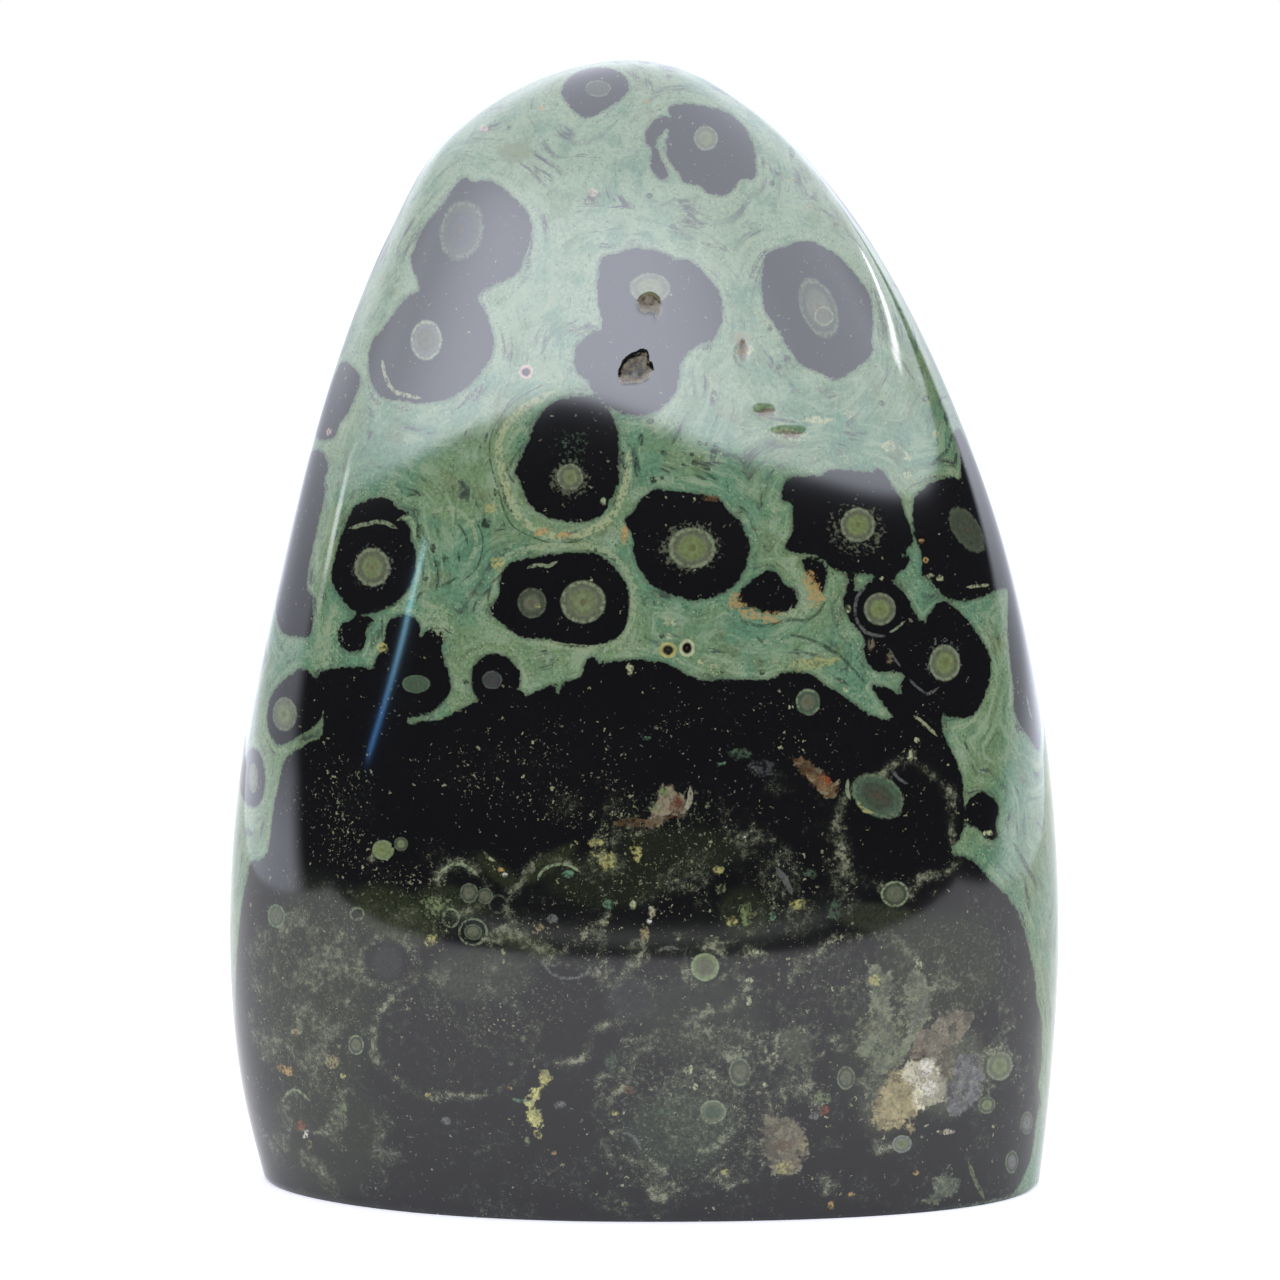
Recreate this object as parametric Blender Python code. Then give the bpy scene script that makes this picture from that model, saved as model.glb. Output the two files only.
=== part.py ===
"""A polished freeform of kambaba jasper that stands on a flat sawn base.

The stone is one piece. X is its width, Y its thickness and Z its height, with the origin on the base,
under the middle of the widest section. Lengths are in millimetres until they reach a mesh.
"""

import math

import bmesh
import bpy
import numpy as np
from mathutils import Matrix, Vector

MM = 0.001

# Level sections from the base to the crown: height, half width, half thickness, sideways shift
SECTIONS = (
    (0.0, 40.9, 21.3, 0.8),
    (10.0, 42.6, 23.5, 0.2),
    (27.0, 43.6, 24.5, 0.0),
    (45.0, 42.3, 23.9, 0.1),
    (65.0, 38.2, 21.9, 0.2),
    (84.0, 32.2, 18.6, -0.7),
    (100.0, 24.7, 14.2, -1.8),
    (110.0, 17.5, 9.7, -2.8),
    (115.5, 9.8, 5.5, -2.5),
    (118.0, 0.0, 0.0, -1.8),
)
HEIGHT = SECTIONS[-1][0]

# Each section is a superellipse, squarer than an ellipse, and at the base its +X end is the squarer one
ROUNDNESS = 2.15
END_CONTRAST = 0.26
END_CONTRAST_HEIGHT = 30.0

BASE_CHAMFER = 0.4

RINGS = 44
SEGMENTS = 88

# Pits the polish did not reach: name, x, height, half width, half height, depth
PITS = (
    ("eye_pit", 0.3, 93.9, 1.45, 1.05, 0.9),
    ("dark_pit", -0.9, 87.6, 1.7, 1.5, 1.1),
    ("ochre_pit", 9.8, 89.3, 0.9, 1.45, 0.9),
    ("upper_ochre_scrape", 12.1, 82.6, 1.6, 0.7, 0.4),
    ("lower_ochre_scrape", 14.3, 80.9, 1.6, 0.7, 0.4),
    ("quartz_pit", 28.0, 17.3, 0.9, 0.8, 0.6),
)
PIT_SEGMENTS = 20
PIT_RINGS = 12

STONE_GREEN = (0.10, 0.15, 0.09, 1.0)
STONE_ROUGHNESS = 0.12


def smooth_values(heights, values, at):
    """Cubic curve through the given values, with slopes taken from their neighbours."""
    steps = np.diff(heights)
    rises = np.diff(values) / steps
    slopes = np.empty(len(values))
    slopes[1:-1] = (steps[1:] * rises[:-1] + steps[:-1] * rises[1:]) / (steps[1:] + steps[:-1])
    slopes[0] = 1.5 * rises[0] - 0.5 * slopes[1]
    slopes[-1] = 1.5 * rises[-1] - 0.5 * slopes[-2]
    span = np.clip(np.searchsorted(heights, at, side="right") - 1, 0, len(steps) - 1)
    t = (at - heights[span]) / steps[span]
    start = (2 * t**3 - 3 * t**2 + 1) * values[span] + (t**3 - 2 * t**2 + t) * steps[span] * slopes[span]
    end = (3 * t**2 - 2 * t**3) * values[span + 1] + (t**3 - t**2) * steps[span] * slopes[span + 1]
    return start + end


def section_sizes(height):
    """Half width, half thickness and sideways shift at a height. Squares are blended, so the crown is round."""
    heights, widths, depths, shifts = (np.array(column) for column in zip(*SECTIONS))
    width = np.sqrt(np.maximum(smooth_values(heights, widths**2, height), 0.0))
    depth = np.sqrt(np.maximum(smooth_values(heights, depths**2, height), 0.0))
    return width, depth, smooth_values(heights, shifts, height)


def surface_point(height, turn):
    """Point of the surface at a height, turned about Z from +X."""
    width, depth, shift = section_sizes(height)
    fade = np.clip(1.0 - height / END_CONTRAST_HEIGHT, 0.0, 1.0) ** 2
    power = 2.0 / (ROUNDNESS + END_CONTRAST * fade * np.cos(turn))
    x = shift + width * np.sign(np.cos(turn)) * np.abs(np.cos(turn)) ** power
    y = depth * np.sign(np.sin(turn)) * np.abs(np.sin(turn)) ** power
    return np.stack([x, y, np.broadcast_to(height, np.shape(x))], axis=-1)


def front_point(x, height):
    """Point of the front face over this x, and the direction straight out of the stone there."""
    turns = np.linspace(-math.pi, 0.0, 721)
    points = surface_point(np.array(height), turns)
    turn = turns[np.argmin(np.abs(points[:, 0] - x))]
    here = surface_point(np.array(height), turn)
    along = surface_point(np.array(height), turn + 0.01) - here
    up = surface_point(np.array(height + 0.5), turn) - here
    return Vector(here), Vector(np.cross(along, up)).normalized()


def add_mesh_object(name, mesh_data, collection):
    mesh = bpy.data.meshes.new(name)
    mesh_data.to_mesh(mesh)
    mesh_data.free()
    obj = bpy.data.objects.new(name, mesh)
    collection.objects.link(obj)
    return obj


def make_stone(collection):
    """Loft through the sections, closed by a flat base and a single crown point."""
    crowded_to_crown = 1.0 - (1.0 - np.arange(RINGS) / RINGS) ** 2
    heights = BASE_CHAMFER + (HEIGHT - BASE_CHAMFER) * crowded_to_crown
    turns = np.arange(SEGMENTS) * 2.0 * math.pi / SEGMENTS
    loft = bmesh.new()

    base_edge = surface_point(np.array(0.0), turns)
    inward = base_edge[:, :2] / np.linalg.norm(base_edge[:, :2], axis=1)[:, None]
    base_edge[:, :2] -= BASE_CHAMFER * inward
    rings = [[loft.verts.new(point * MM) for point in base_edge]]
    for height in heights:
        rings.append([loft.verts.new(point * MM) for point in surface_point(height, turns)])
    crown = loft.verts.new(surface_point(np.array(HEIGHT), np.array(0.0)) * MM)

    loft.faces.new(list(reversed(rings[0])))
    for lower, upper in zip(rings, rings[1:]):
        for i in range(SEGMENTS):
            j = (i + 1) % SEGMENTS
            loft.faces.new((lower[i], lower[j], upper[j], upper[i]))
    for i in range(SEGMENTS):
        loft.faces.new((rings[-1][i], rings[-1][(i + 1) % SEGMENTS], crown))
    for face in loft.faces:
        face.smooth = len(face.verts) <= 4
    return add_mesh_object("polished_stone", loft, collection)


def cut_pit(stone, cutters, name, x, height, half_width, half_height, depth):
    """Hollow out a shallow bowl, with its rim the given size where it meets the front face."""
    centre, out = front_point(x, height)
    side = Vector((0, 0, 1)).cross(out).normalized()
    turn = Matrix((side, out.cross(side), out)).transposed().to_4x4()
    bowl = bmesh.new()
    bmesh.ops.create_uvsphere(bowl, u_segments=PIT_SEGMENTS, v_segments=PIT_RINGS, radius=1.0)
    size = Matrix.Diagonal((half_width * MM, half_height * MM, depth * MM, 1.0))
    bmesh.ops.transform(bowl, matrix=size, verts=bowl.verts)
    cutter = add_mesh_object(name, bowl, cutters)
    cutter.matrix_world = Matrix.Translation(centre * MM) @ turn
    cutter.display_type = "WIRE"
    cutter.hide_render = True
    cut = stone.modifiers.new(name, "BOOLEAN")
    cut.operation = "DIFFERENCE"
    cut.solver = "EXACT"
    cut.object = cutter


def make_material():
    material = bpy.data.materials.new("kambaba_jasper")
    material.use_nodes = True
    surface = material.node_tree.nodes["Principled BSDF"]
    surface.inputs["Base Color"].default_value = STONE_GREEN
    surface.inputs["Roughness"].default_value = STONE_ROUGHNESS
    surface.inputs["Metallic"].default_value = 0.0
    return material


def add_collection(name):
    collection = bpy.data.collections.new(name)
    bpy.context.scene.collection.children.link(collection)
    return collection


for old in list(bpy.data.objects):
    bpy.data.objects.remove(old, do_unlink=True)

stone = make_stone(add_collection("Kambaba jasper"))
stone.data.materials.append(make_material())
cutters = add_collection("Cutters")
for pit in PITS:
    cut_pit(stone, cutters, *pit)
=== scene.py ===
"""The looks of the kambaba jasper: one polished stone with its orbs, specks and pits, in a white tent.

Its markings are read off the photograph as outlines and spots in photograph pixels. They are cast through
the camera on to the stone, and from there on every distance is in millimetres of real surface.
"""

import math

import bpy
import numpy as np
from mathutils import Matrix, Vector
from mathutils.kdtree import KDTree


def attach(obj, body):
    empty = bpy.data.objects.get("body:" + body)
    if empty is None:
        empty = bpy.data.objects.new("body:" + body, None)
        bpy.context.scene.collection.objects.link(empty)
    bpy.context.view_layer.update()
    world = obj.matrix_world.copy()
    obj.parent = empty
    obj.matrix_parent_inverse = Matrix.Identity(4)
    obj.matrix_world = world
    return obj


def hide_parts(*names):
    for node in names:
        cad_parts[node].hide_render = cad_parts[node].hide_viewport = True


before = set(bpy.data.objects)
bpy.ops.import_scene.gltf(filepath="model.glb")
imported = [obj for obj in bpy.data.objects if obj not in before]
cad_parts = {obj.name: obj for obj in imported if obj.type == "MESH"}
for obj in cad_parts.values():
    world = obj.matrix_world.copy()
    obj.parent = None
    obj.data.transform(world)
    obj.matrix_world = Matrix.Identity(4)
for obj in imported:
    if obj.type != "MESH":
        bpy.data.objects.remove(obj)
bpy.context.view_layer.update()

MM = 0.001

# Camera, in the photograph's own frame
PHOTO_SIZE = 1280
CAMERA_TARGET = np.array((-0.45, 0.0, 57.36))
CAMERA_ELEVATION = math.radians(8.0)
CAMERA_DISTANCE = 700.0
LENS = 188.3
SENSOR = 36.0
FORWARD = np.array((0.0, math.cos(CAMERA_ELEVATION), -math.sin(CAMERA_ELEVATION)))
UPWARD = np.array((0.0, math.sin(CAMERA_ELEVATION), math.cos(CAMERA_ELEVATION)))
CAMERA_PLACE = CAMERA_TARGET - CAMERA_DISTANCE * FORWARD
PIXELS_PER_MM = LENS / SENSOR * PHOTO_SIZE / CAMERA_DISTANCE

# Level sections from the base to the crown: height, half width, half thickness, sideways shift
SECTIONS = (
    (0.0, 40.9, 21.3, 0.8),
    (10.0, 42.6, 23.5, 0.2),
    (27.0, 43.6, 24.5, 0.0),
    (45.0, 42.3, 23.9, 0.1),
    (65.0, 38.2, 21.9, 0.2),
    (84.0, 32.2, 18.6, -0.7),
    (100.0, 24.7, 14.2, -1.8),
    (110.0, 17.5, 9.7, -2.8),
    (115.5, 9.8, 5.5, -2.5),
    (118.0, 0.0, 0.0, -1.8),
)
HEIGHT = SECTIONS[-1][0]
ROUNDNESS = 2.15
END_CONTRAST = 0.26
END_CONTRAST_HEIGHT = 30.0
BASE_CHAMFER = 0.4
SHARP_ANGLE = math.radians(38.0)

# Fine mesh: columns are closer together on the front, which the photograph shows
RINGS = 262
FRONT_COLUMNS = 290
BACK_COLUMNS = 76
FRONT_OVERLAP = 0.3
FRONT = -math.pi / 2
SPACING_HEIGHT = 40.0
SPACING_STEPS = 2000

# Distances from an edge are kept up to this many millimetres, and those from a mark a little past it
FAR = 9.0
MARK_MARGIN = 1.5

# Least agreement of the surface's direction with a mark's, so that no mark goes through to the back
SAME_SIDE = 0.2

# Noise in space: how many directions it draws on, how weak each octave is, and what mixes a cell's place
DIRECTIONS = 4096
OCTAVE_SHARE = 0.55
CELL_FACTORS = (73856093, 19349663, 83492791)
WAVES = 6


def smooth_values(heights, values, at):
    """Cubic curve through the given values, with slopes taken from their neighbours."""
    steps = np.diff(heights)
    rises = np.diff(values) / steps
    slopes = np.empty(len(values))
    slopes[1:-1] = (steps[1:] * rises[:-1] + steps[:-1] * rises[1:]) / (steps[1:] + steps[:-1])
    slopes[0] = 1.5 * rises[0] - 0.5 * slopes[1]
    slopes[-1] = 1.5 * rises[-1] - 0.5 * slopes[-2]
    span = np.clip(np.searchsorted(heights, at, side="right") - 1, 0, len(steps) - 1)
    t = (at - heights[span]) / steps[span]
    start = (2 * t**3 - 3 * t**2 + 1) * values[span] + (t**3 - 2 * t**2 + t) * steps[span] * slopes[span]
    end = (3 * t**2 - 2 * t**3) * values[span + 1] + (t**3 - t**2) * steps[span] * slopes[span + 1]
    return start + end


def surface_point(height, turn):
    """Point of the surface at a height, turned about Z from +X."""
    heights, widths, depths, shifts = (np.array(column) for column in zip(*SECTIONS))
    width = np.sqrt(np.maximum(smooth_values(heights, widths**2, height), 0.0))
    depth = np.sqrt(np.maximum(smooth_values(heights, depths**2, height), 0.0))
    shift = smooth_values(heights, shifts, height)
    fade = np.clip(1.0 - height / END_CONTRAST_HEIGHT, 0.0, 1.0) ** 2
    power = 2.0 / (ROUNDNESS + END_CONTRAST * fade * np.cos(turn))
    x = shift + width * np.sign(np.cos(turn)) * np.abs(np.cos(turn)) ** power
    y = depth * np.sign(np.sin(turn)) * np.abs(np.sin(turn)) ** power
    return np.stack([x, y, np.broadcast_to(height, np.shape(x))], axis=-1)


def unit(vectors):
    return vectors / np.maximum(np.linalg.norm(vectors, axis=-1, keepdims=True), 1e-9)


def even_steps(points, values, count):
    """Values at equal steps of length along a line of points."""
    length = np.concatenate([[0.0], np.cumsum(np.linalg.norm(np.diff(points, axis=0), axis=1))])
    return np.interp(np.linspace(0.0, length[-1], count), length, values)


def make_grid():
    """Heights and turns of the fine mesh, spaced evenly along the surface."""
    height = np.array(SPACING_HEIGHT)
    half_turns = np.linspace(FRONT, FRONT_OVERLAP, SPACING_STEPS)
    right = even_steps(surface_point(height, half_turns), half_turns, FRONT_COLUMNS // 2 + 1)
    left = 2 * FRONT - right[:0:-1]
    back_turns = np.linspace(right[-1], left[0] + 2 * math.pi, SPACING_STEPS)
    back = even_steps(surface_point(height, back_turns), back_turns, BACK_COLUMNS + 2)[1:-1]
    back_centre = len(back) // 2
    turns = np.concatenate([back[back_centre:] - 2 * math.pi, left, right, back[:back_centre]])
    crowded = HEIGHT - (HEIGHT - BASE_CHAMFER) * np.linspace(1.0, 0.0, 2 * SPACING_STEPS) ** 2
    line = surface_point(crowded, np.array(FRONT))
    heights = even_steps(line, crowded, RINGS + 1)[:-1]
    return heights, turns


class Surface:
    """The stone's surface as a grid of points, with its unrolled chart and its place in the photograph."""

    def __init__(self):
        heights, turns = make_grid()
        middle = int(np.argmin(np.abs(turns - FRONT)))
        self.points = surface_point(heights[:, None], turns[None, :])
        across = np.roll(self.points, -1, axis=1) - np.roll(self.points, 1, axis=1)
        upward = np.gradient(self.points, axis=0)
        self.normals = unit(np.cross(across, upward))
        step = np.linalg.norm(np.diff(self.points, axis=1), axis=2)
        along = np.concatenate([np.zeros((len(heights), 1)), np.cumsum(step, axis=1)], axis=1)
        along = along - along[:, middle : middle + 1]
        rise = np.linalg.norm(np.diff(self.points[:, middle], axis=0), axis=1)
        up = np.concatenate([[0.0], np.cumsum(rise)])[:, None] + np.zeros_like(along)
        self.chart = np.stack([along, up], axis=-1)
        self.pixels = project(self.points)
        facing = np.sum(self.normals * unit(CAMERA_PLACE - self.points), axis=-1)
        self.seen = np.argwhere(facing > 0.0)
        self.finder = KDTree(len(self.seen))
        for number, (row, column) in enumerate(self.seen):
            self.finder.insert((*self.pixels[row, column], 0.0), number)
        self.finder.balance()

    def cast(self, pixel):
        """Grid place, row and column with fractions, of the front surface behind a photograph pixel."""
        row, column = self.seen[self.finder.find((*pixel, 0.0))[1]]
        row = min(max(row, 1), len(self.points) - 2)
        to_right = (self.pixels[row, column + 1] - self.pixels[row, column - 1]) / 2
        to_top = (self.pixels[row + 1, column] - self.pixels[row - 1, column]) / 2
        offset = np.linalg.solve(np.stack([to_right, to_top], axis=1), pixel - self.pixels[row, column])
        offset = np.clip(offset, -1.0, 1.0)
        return row, column, offset[0], offset[1]

    def value_at(self, values, pixel):
        row, column, right, top = self.cast(np.array(pixel, float))
        to_right = (values[row, column + 1] - values[row, column - 1]) / 2
        to_top = (values[row + 1, column] - values[row - 1, column]) / 2
        return values[row, column] + right * to_right + top * to_top

    def outlined(self, pixels, margin):
        """Which points are within a margin of an outline's box, and their distances, negative inside it."""
        corners = smooth_line([self.value_at(self.chart, pixel) for pixel in pixels], True, 3)
        at = self.chart.reshape(-1, 2)
        near = np.all((at > corners.min(axis=0) - margin) & (at < corners.max(axis=0) + margin), axis=1)
        return near, outline_distance(at[near], corners)


def project(points):
    """Photograph pixels of points in millimetres."""
    away = points - CAMERA_PLACE
    depth = away @ FORWARD
    scale = PIXELS_PER_MM * CAMERA_DISTANCE / depth
    centre = PHOTO_SIZE / 2
    return np.stack([centre + scale * away[..., 0], centre - scale * (away @ UPWARD)], axis=-1)


def smooth_line(points, closed, steps=4):
    """Curve through points read off."""
    points = np.array(points, float)
    if closed:
        points = np.concatenate([points[-1:], points, points[:2]])
    else:
        points = np.concatenate([2 * points[:1] - points[1:2], points, 2 * points[-1:] - points[-2:-1]])
    before, start, end, after = points[:-3], points[1:-2], points[2:-1], points[3:]
    curve = []
    for t in np.arange(steps) / steps:
        curve.append(
            start
            + 0.5 * t * (end - before)
            + t**2 * (before - 2.5 * start + 2 * end - 0.5 * after)
            + 0.5 * t**3 * (after - before + 3 * (start - end))
        )
    curve = np.stack(curve, axis=1).reshape(-1, points.shape[1])
    return curve if closed else np.concatenate([curve, end[-1:]])


def outline_distance(at, corners):
    """Distance from each place to a closed outline, negative inside it."""
    nearest = np.full(len(at), np.inf)
    inside = np.zeros(len(at), bool)
    for a, b in zip(corners, np.roll(corners, -1, axis=0)):
        edge = b - a
        t = np.clip((at - a) @ edge / max(edge @ edge, 1e-9), 0.0, 1.0)
        nearest = np.minimum(nearest, np.sum((at - a - t[:, None] * edge) ** 2, axis=1))
        if a[1] != b[1]:
            crosses = (a[1] > at[:, 1]) != (b[1] > at[:, 1])
            inside ^= crosses & (at[:, 0] < a[0] + (at[:, 1] - a[1]) * edge[0] / edge[1])
    return np.where(inside, -1.0, 1.0) * np.sqrt(nearest)


# Black bodies, as closed outlines in photograph pixels
BLACK_BODIES = {
    "crown orb": ((561, 91), (576, 73), (600, 67), (620, 73), (628, 85), (622, 98), (590, 117), (576, 112)),
    "upper right orb": ((670, 107), (690, 104), (728, 113), (749, 134), (756, 162), (754, 178), (740, 179),
        (734, 188), (724, 195), (710, 194), (700, 186), (684, 182), (679, 174), (666, 152), (671, 120)),
    "upper right crescent": ((671, 118), (658, 118), (648, 128), (645, 140), (653, 152), (650, 162),
        (656, 176), (664, 180), (668, 172), (657, 152), (656, 142), (663, 132), (672, 124)),
    "upper left pair": ((462, 179), (472, 182), (486, 181), (500, 186), (522, 206), (530, 220), (531, 240),
        (524, 256), (520, 270), (506, 280), (478, 294), (488, 318), (494, 348), (478, 376), (452, 397),
        (420, 403), (400, 400), (380, 396), (369, 372), (371, 344), (382, 330), (406, 298), (420, 288),
        (411, 258), (426, 224), (438, 210)),
    "right shoulder orb": ((767, 254), (784, 247), (798, 242), (814, 242), (824, 248), (840, 258),
        (868, 292), (873, 322), (871, 340), (870, 356), (838, 379), (824, 374), (800, 364), (794, 354),
        (786, 344), (780, 332), (765, 310), (762, 280)),
    "centre lobes": ((600, 260), (616, 254), (632, 248), (660, 252), (676, 260), (692, 262), (718, 290),
        (722, 316), (718, 332), (710, 342), (698, 344), (680, 364), (679, 380), (674, 394), (652, 414),
        (618, 412), (594, 392), (589, 382), (580, 376), (575, 368), (576, 346), (586, 338), (594, 330),
        (601, 332), (602, 316), (598, 300)),
    "left edge sliver": ((340, 364), (360, 376), (348, 412), (340, 422), (336, 434), (330, 439), (318, 438),
        (318, 424)),
    "left edge body": ((312, 452), (322, 452), (328, 466), (324, 480), (324, 498), (316, 532), (306, 584),
        (312, 596), (312, 628), (306, 637), (282, 632), (276, 610), (277, 590), (285, 556), (292, 520),
        (298, 504), (304, 472)),
    "left orb": ((378, 498), (390, 500), (398, 508), (410, 514), (402, 518), (410, 528), (411, 540),
        (416, 552), (413, 580), (396, 602), (370, 614), (350, 608), (334, 586), (332, 570), (340, 540),
        (352, 510), (362, 502)),
    "middle orb": ((558, 400), (538, 418), (528, 442), (514, 474), (520, 480), (528, 502), (548, 517),
        (576, 522), (600, 516), (618, 484), (618, 458), (617, 428), (596, 398)),
    "twin orb": ((512, 562), (574, 552), (604, 558), (626, 584), (628, 620), (614, 640), (580, 647),
        (560, 644), (550, 639), (520, 636), (492, 614), (490, 608), (498, 598), (500, 590), (500, 580)),
    "yellow eyed orb": ((640, 500), (658, 488), (666, 491), (700, 494), (720, 500), (726, 508), (734, 516),
        (740, 520), (750, 546), (748, 556), (746, 566), (732, 588), (700, 600), (672, 595), (648, 582),
        (634, 556), (634, 540), (625, 520), (636, 508)),
    "crescent": ((772, 570), (786, 586), (794, 590), (797, 606), (780, 614), (764, 612), (738, 600),
        (748, 584)),
    "crescent lobe": ((802, 560), (818, 560), (826, 568), (824, 590), (818, 588), (806, 572)),
    "right orb": ((786, 480), (800, 476), (820, 476), (830, 470), (860, 471), (872, 474), (876, 469),
        (884, 472), (888, 480), (901, 500), (904, 512), (914, 540), (908, 548), (902, 556), (910, 556),
        (906, 568), (898, 572), (892, 580), (866, 574), (844, 572), (832, 568), (818, 556), (788, 551),
        (786, 544), (792, 532), (792, 504), (782, 500)),
    "links": ((846, 570), (854, 573), (856, 592), (880, 576), (902, 590), (918, 618), (930, 628),
        (940, 642), (942, 664), (940, 690), (938, 710), (912, 706), (900, 688), (905, 675), (890, 671),
        (878, 672), (868, 664), (864, 650), (864, 638), (843, 608), (848, 584)),
    "green eyed orb": ((930, 612), (948, 602), (982, 640), (991, 670), (978, 710), (958, 718), (934, 708),
        (920, 670), (920, 640)),
    "right edge orb": ((924, 490), (928, 484), (950, 477), (960, 479), (960, 452), (954, 436), (964, 436),
        (1004, 540), (1016, 580), (1020, 590), (1004, 588), (968, 601), (944, 596), (936, 586), (922, 574),
        (922, 560), (913, 524), (915, 496)),
    "right edge band": ((1006, 574), (1008, 592), (1008, 636), (1014, 694), (1014, 708), (1020, 724),
        (1036, 748), (1040, 746), (1038, 688), (1018, 584)),
    "small left orb": ((358, 614), (374, 622), (366, 628), (366, 640), (358, 652), (342, 648), (338, 636),
        (340, 626), (350, 620)),
    "left cluster": ((386, 626), (390, 620), (402, 615), (414, 618), (420, 626), (420, 638), (430, 628),
        (440, 630), (444, 640), (441, 652), (452, 688), (436, 708), (424, 715), (410, 718), (396, 730),
        (376, 720), (366, 690), (384, 640)),
    "low left orb": ((306, 670), (292, 674), (272, 694), (267, 720), (274, 742), (286, 743), (312, 728),
        (322, 716), (324, 690)),
    "left edge orb": ((253, 748), (261, 757), (265, 778), (262, 798), (254, 807), (244, 800), (240, 778),
        (245, 757)),
    "lowest right orb": ((982, 792), (994, 799), (999, 811), (996, 824), (998, 838), (988, 839), (978, 829),
        (968, 824), (965, 811), (970, 798)),
    "small round orb": ((495, 654), (508, 658), (517, 668), (520, 680), (512, 698), (480, 700), (471, 684),
        (473, 668), (482, 657)),
}

# The black mass that fills the lower half of the front, down to the base
MASS_TOP = (
    (236, 1230), (238, 1100), (236, 980), (242, 904), (248, 876), (251, 862), (267, 854), (274, 806),
    (281, 776), (285, 760), (306, 744), (322, 734), (322, 700), (318, 676), (340, 668), (376, 672),
    (402, 721), (420, 721), (440, 720), (470, 704), (486, 700), (504, 700), (518, 690), (528, 695),
    (554, 684), (556, 696), (564, 682), (580, 678), (584, 664), (590, 657), (596, 658), (600, 664),
    (606, 662), (640, 659), (654, 662), (668, 664), (692, 677), (704, 680), (730, 679), (760, 680),
    (776, 677), (782, 673), (810, 674), (826, 686), (838, 692), (872, 716), (893, 717), (880, 700),
    (872, 684), (896, 692), (912, 702), (938, 706), (944, 736), (961, 774), (964, 820), (960, 838),
    (950, 852), (972, 860), (990, 880), (1018, 912), (1035, 980), (1036, 1000), (1041, 1020), (1041, 1064),
    (1038, 1084), (1040, 1100), (1036, 1120), (1030, 1160), (1010, 1200), (1000, 1235),
)

# Colours as the photograph shows them out of the glare, red, green and blue from 0 to 255
COLOURS = {
    "black": (13, 13, 14),
    "dark": (26, 30, 26),
    "cream": (152, 158, 124),
    "pale": (132, 146, 116),
    "pale green": (119, 139, 115),
    "green": (99, 121, 89),
    "teal": (84, 118, 94),
    "dull green": (62, 78, 62),
    "moss": (50, 57, 36),
    "olive": (98, 108, 78),
    "grey olive": (84, 88, 72),
    "dust": (134, 136, 114),
    "dim olive": (58, 64, 52),
    "yellow green": (98, 110, 72),
    "yellow": (146, 144, 92),
    "orange": (154, 126, 80),
    "rust": (118, 62, 40),
    "dark red": (84, 34, 26),
    "brown": (82, 64, 44),
    "ochre": (126, 117, 86),
    "umber": (86, 80, 67),
    "lilac grey": (82, 82, 84),
    "tan": (98, 90, 74),
    "pink": (168, 146, 136),
    "slate": (54, 62, 58),
    "white": (186, 184, 176),
    "quartz": (154, 150, 130),
    "grey": (92, 94, 92),
    "light grey": (92, 95, 92),
    "dim grey": (56, 58, 58),
}

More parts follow.
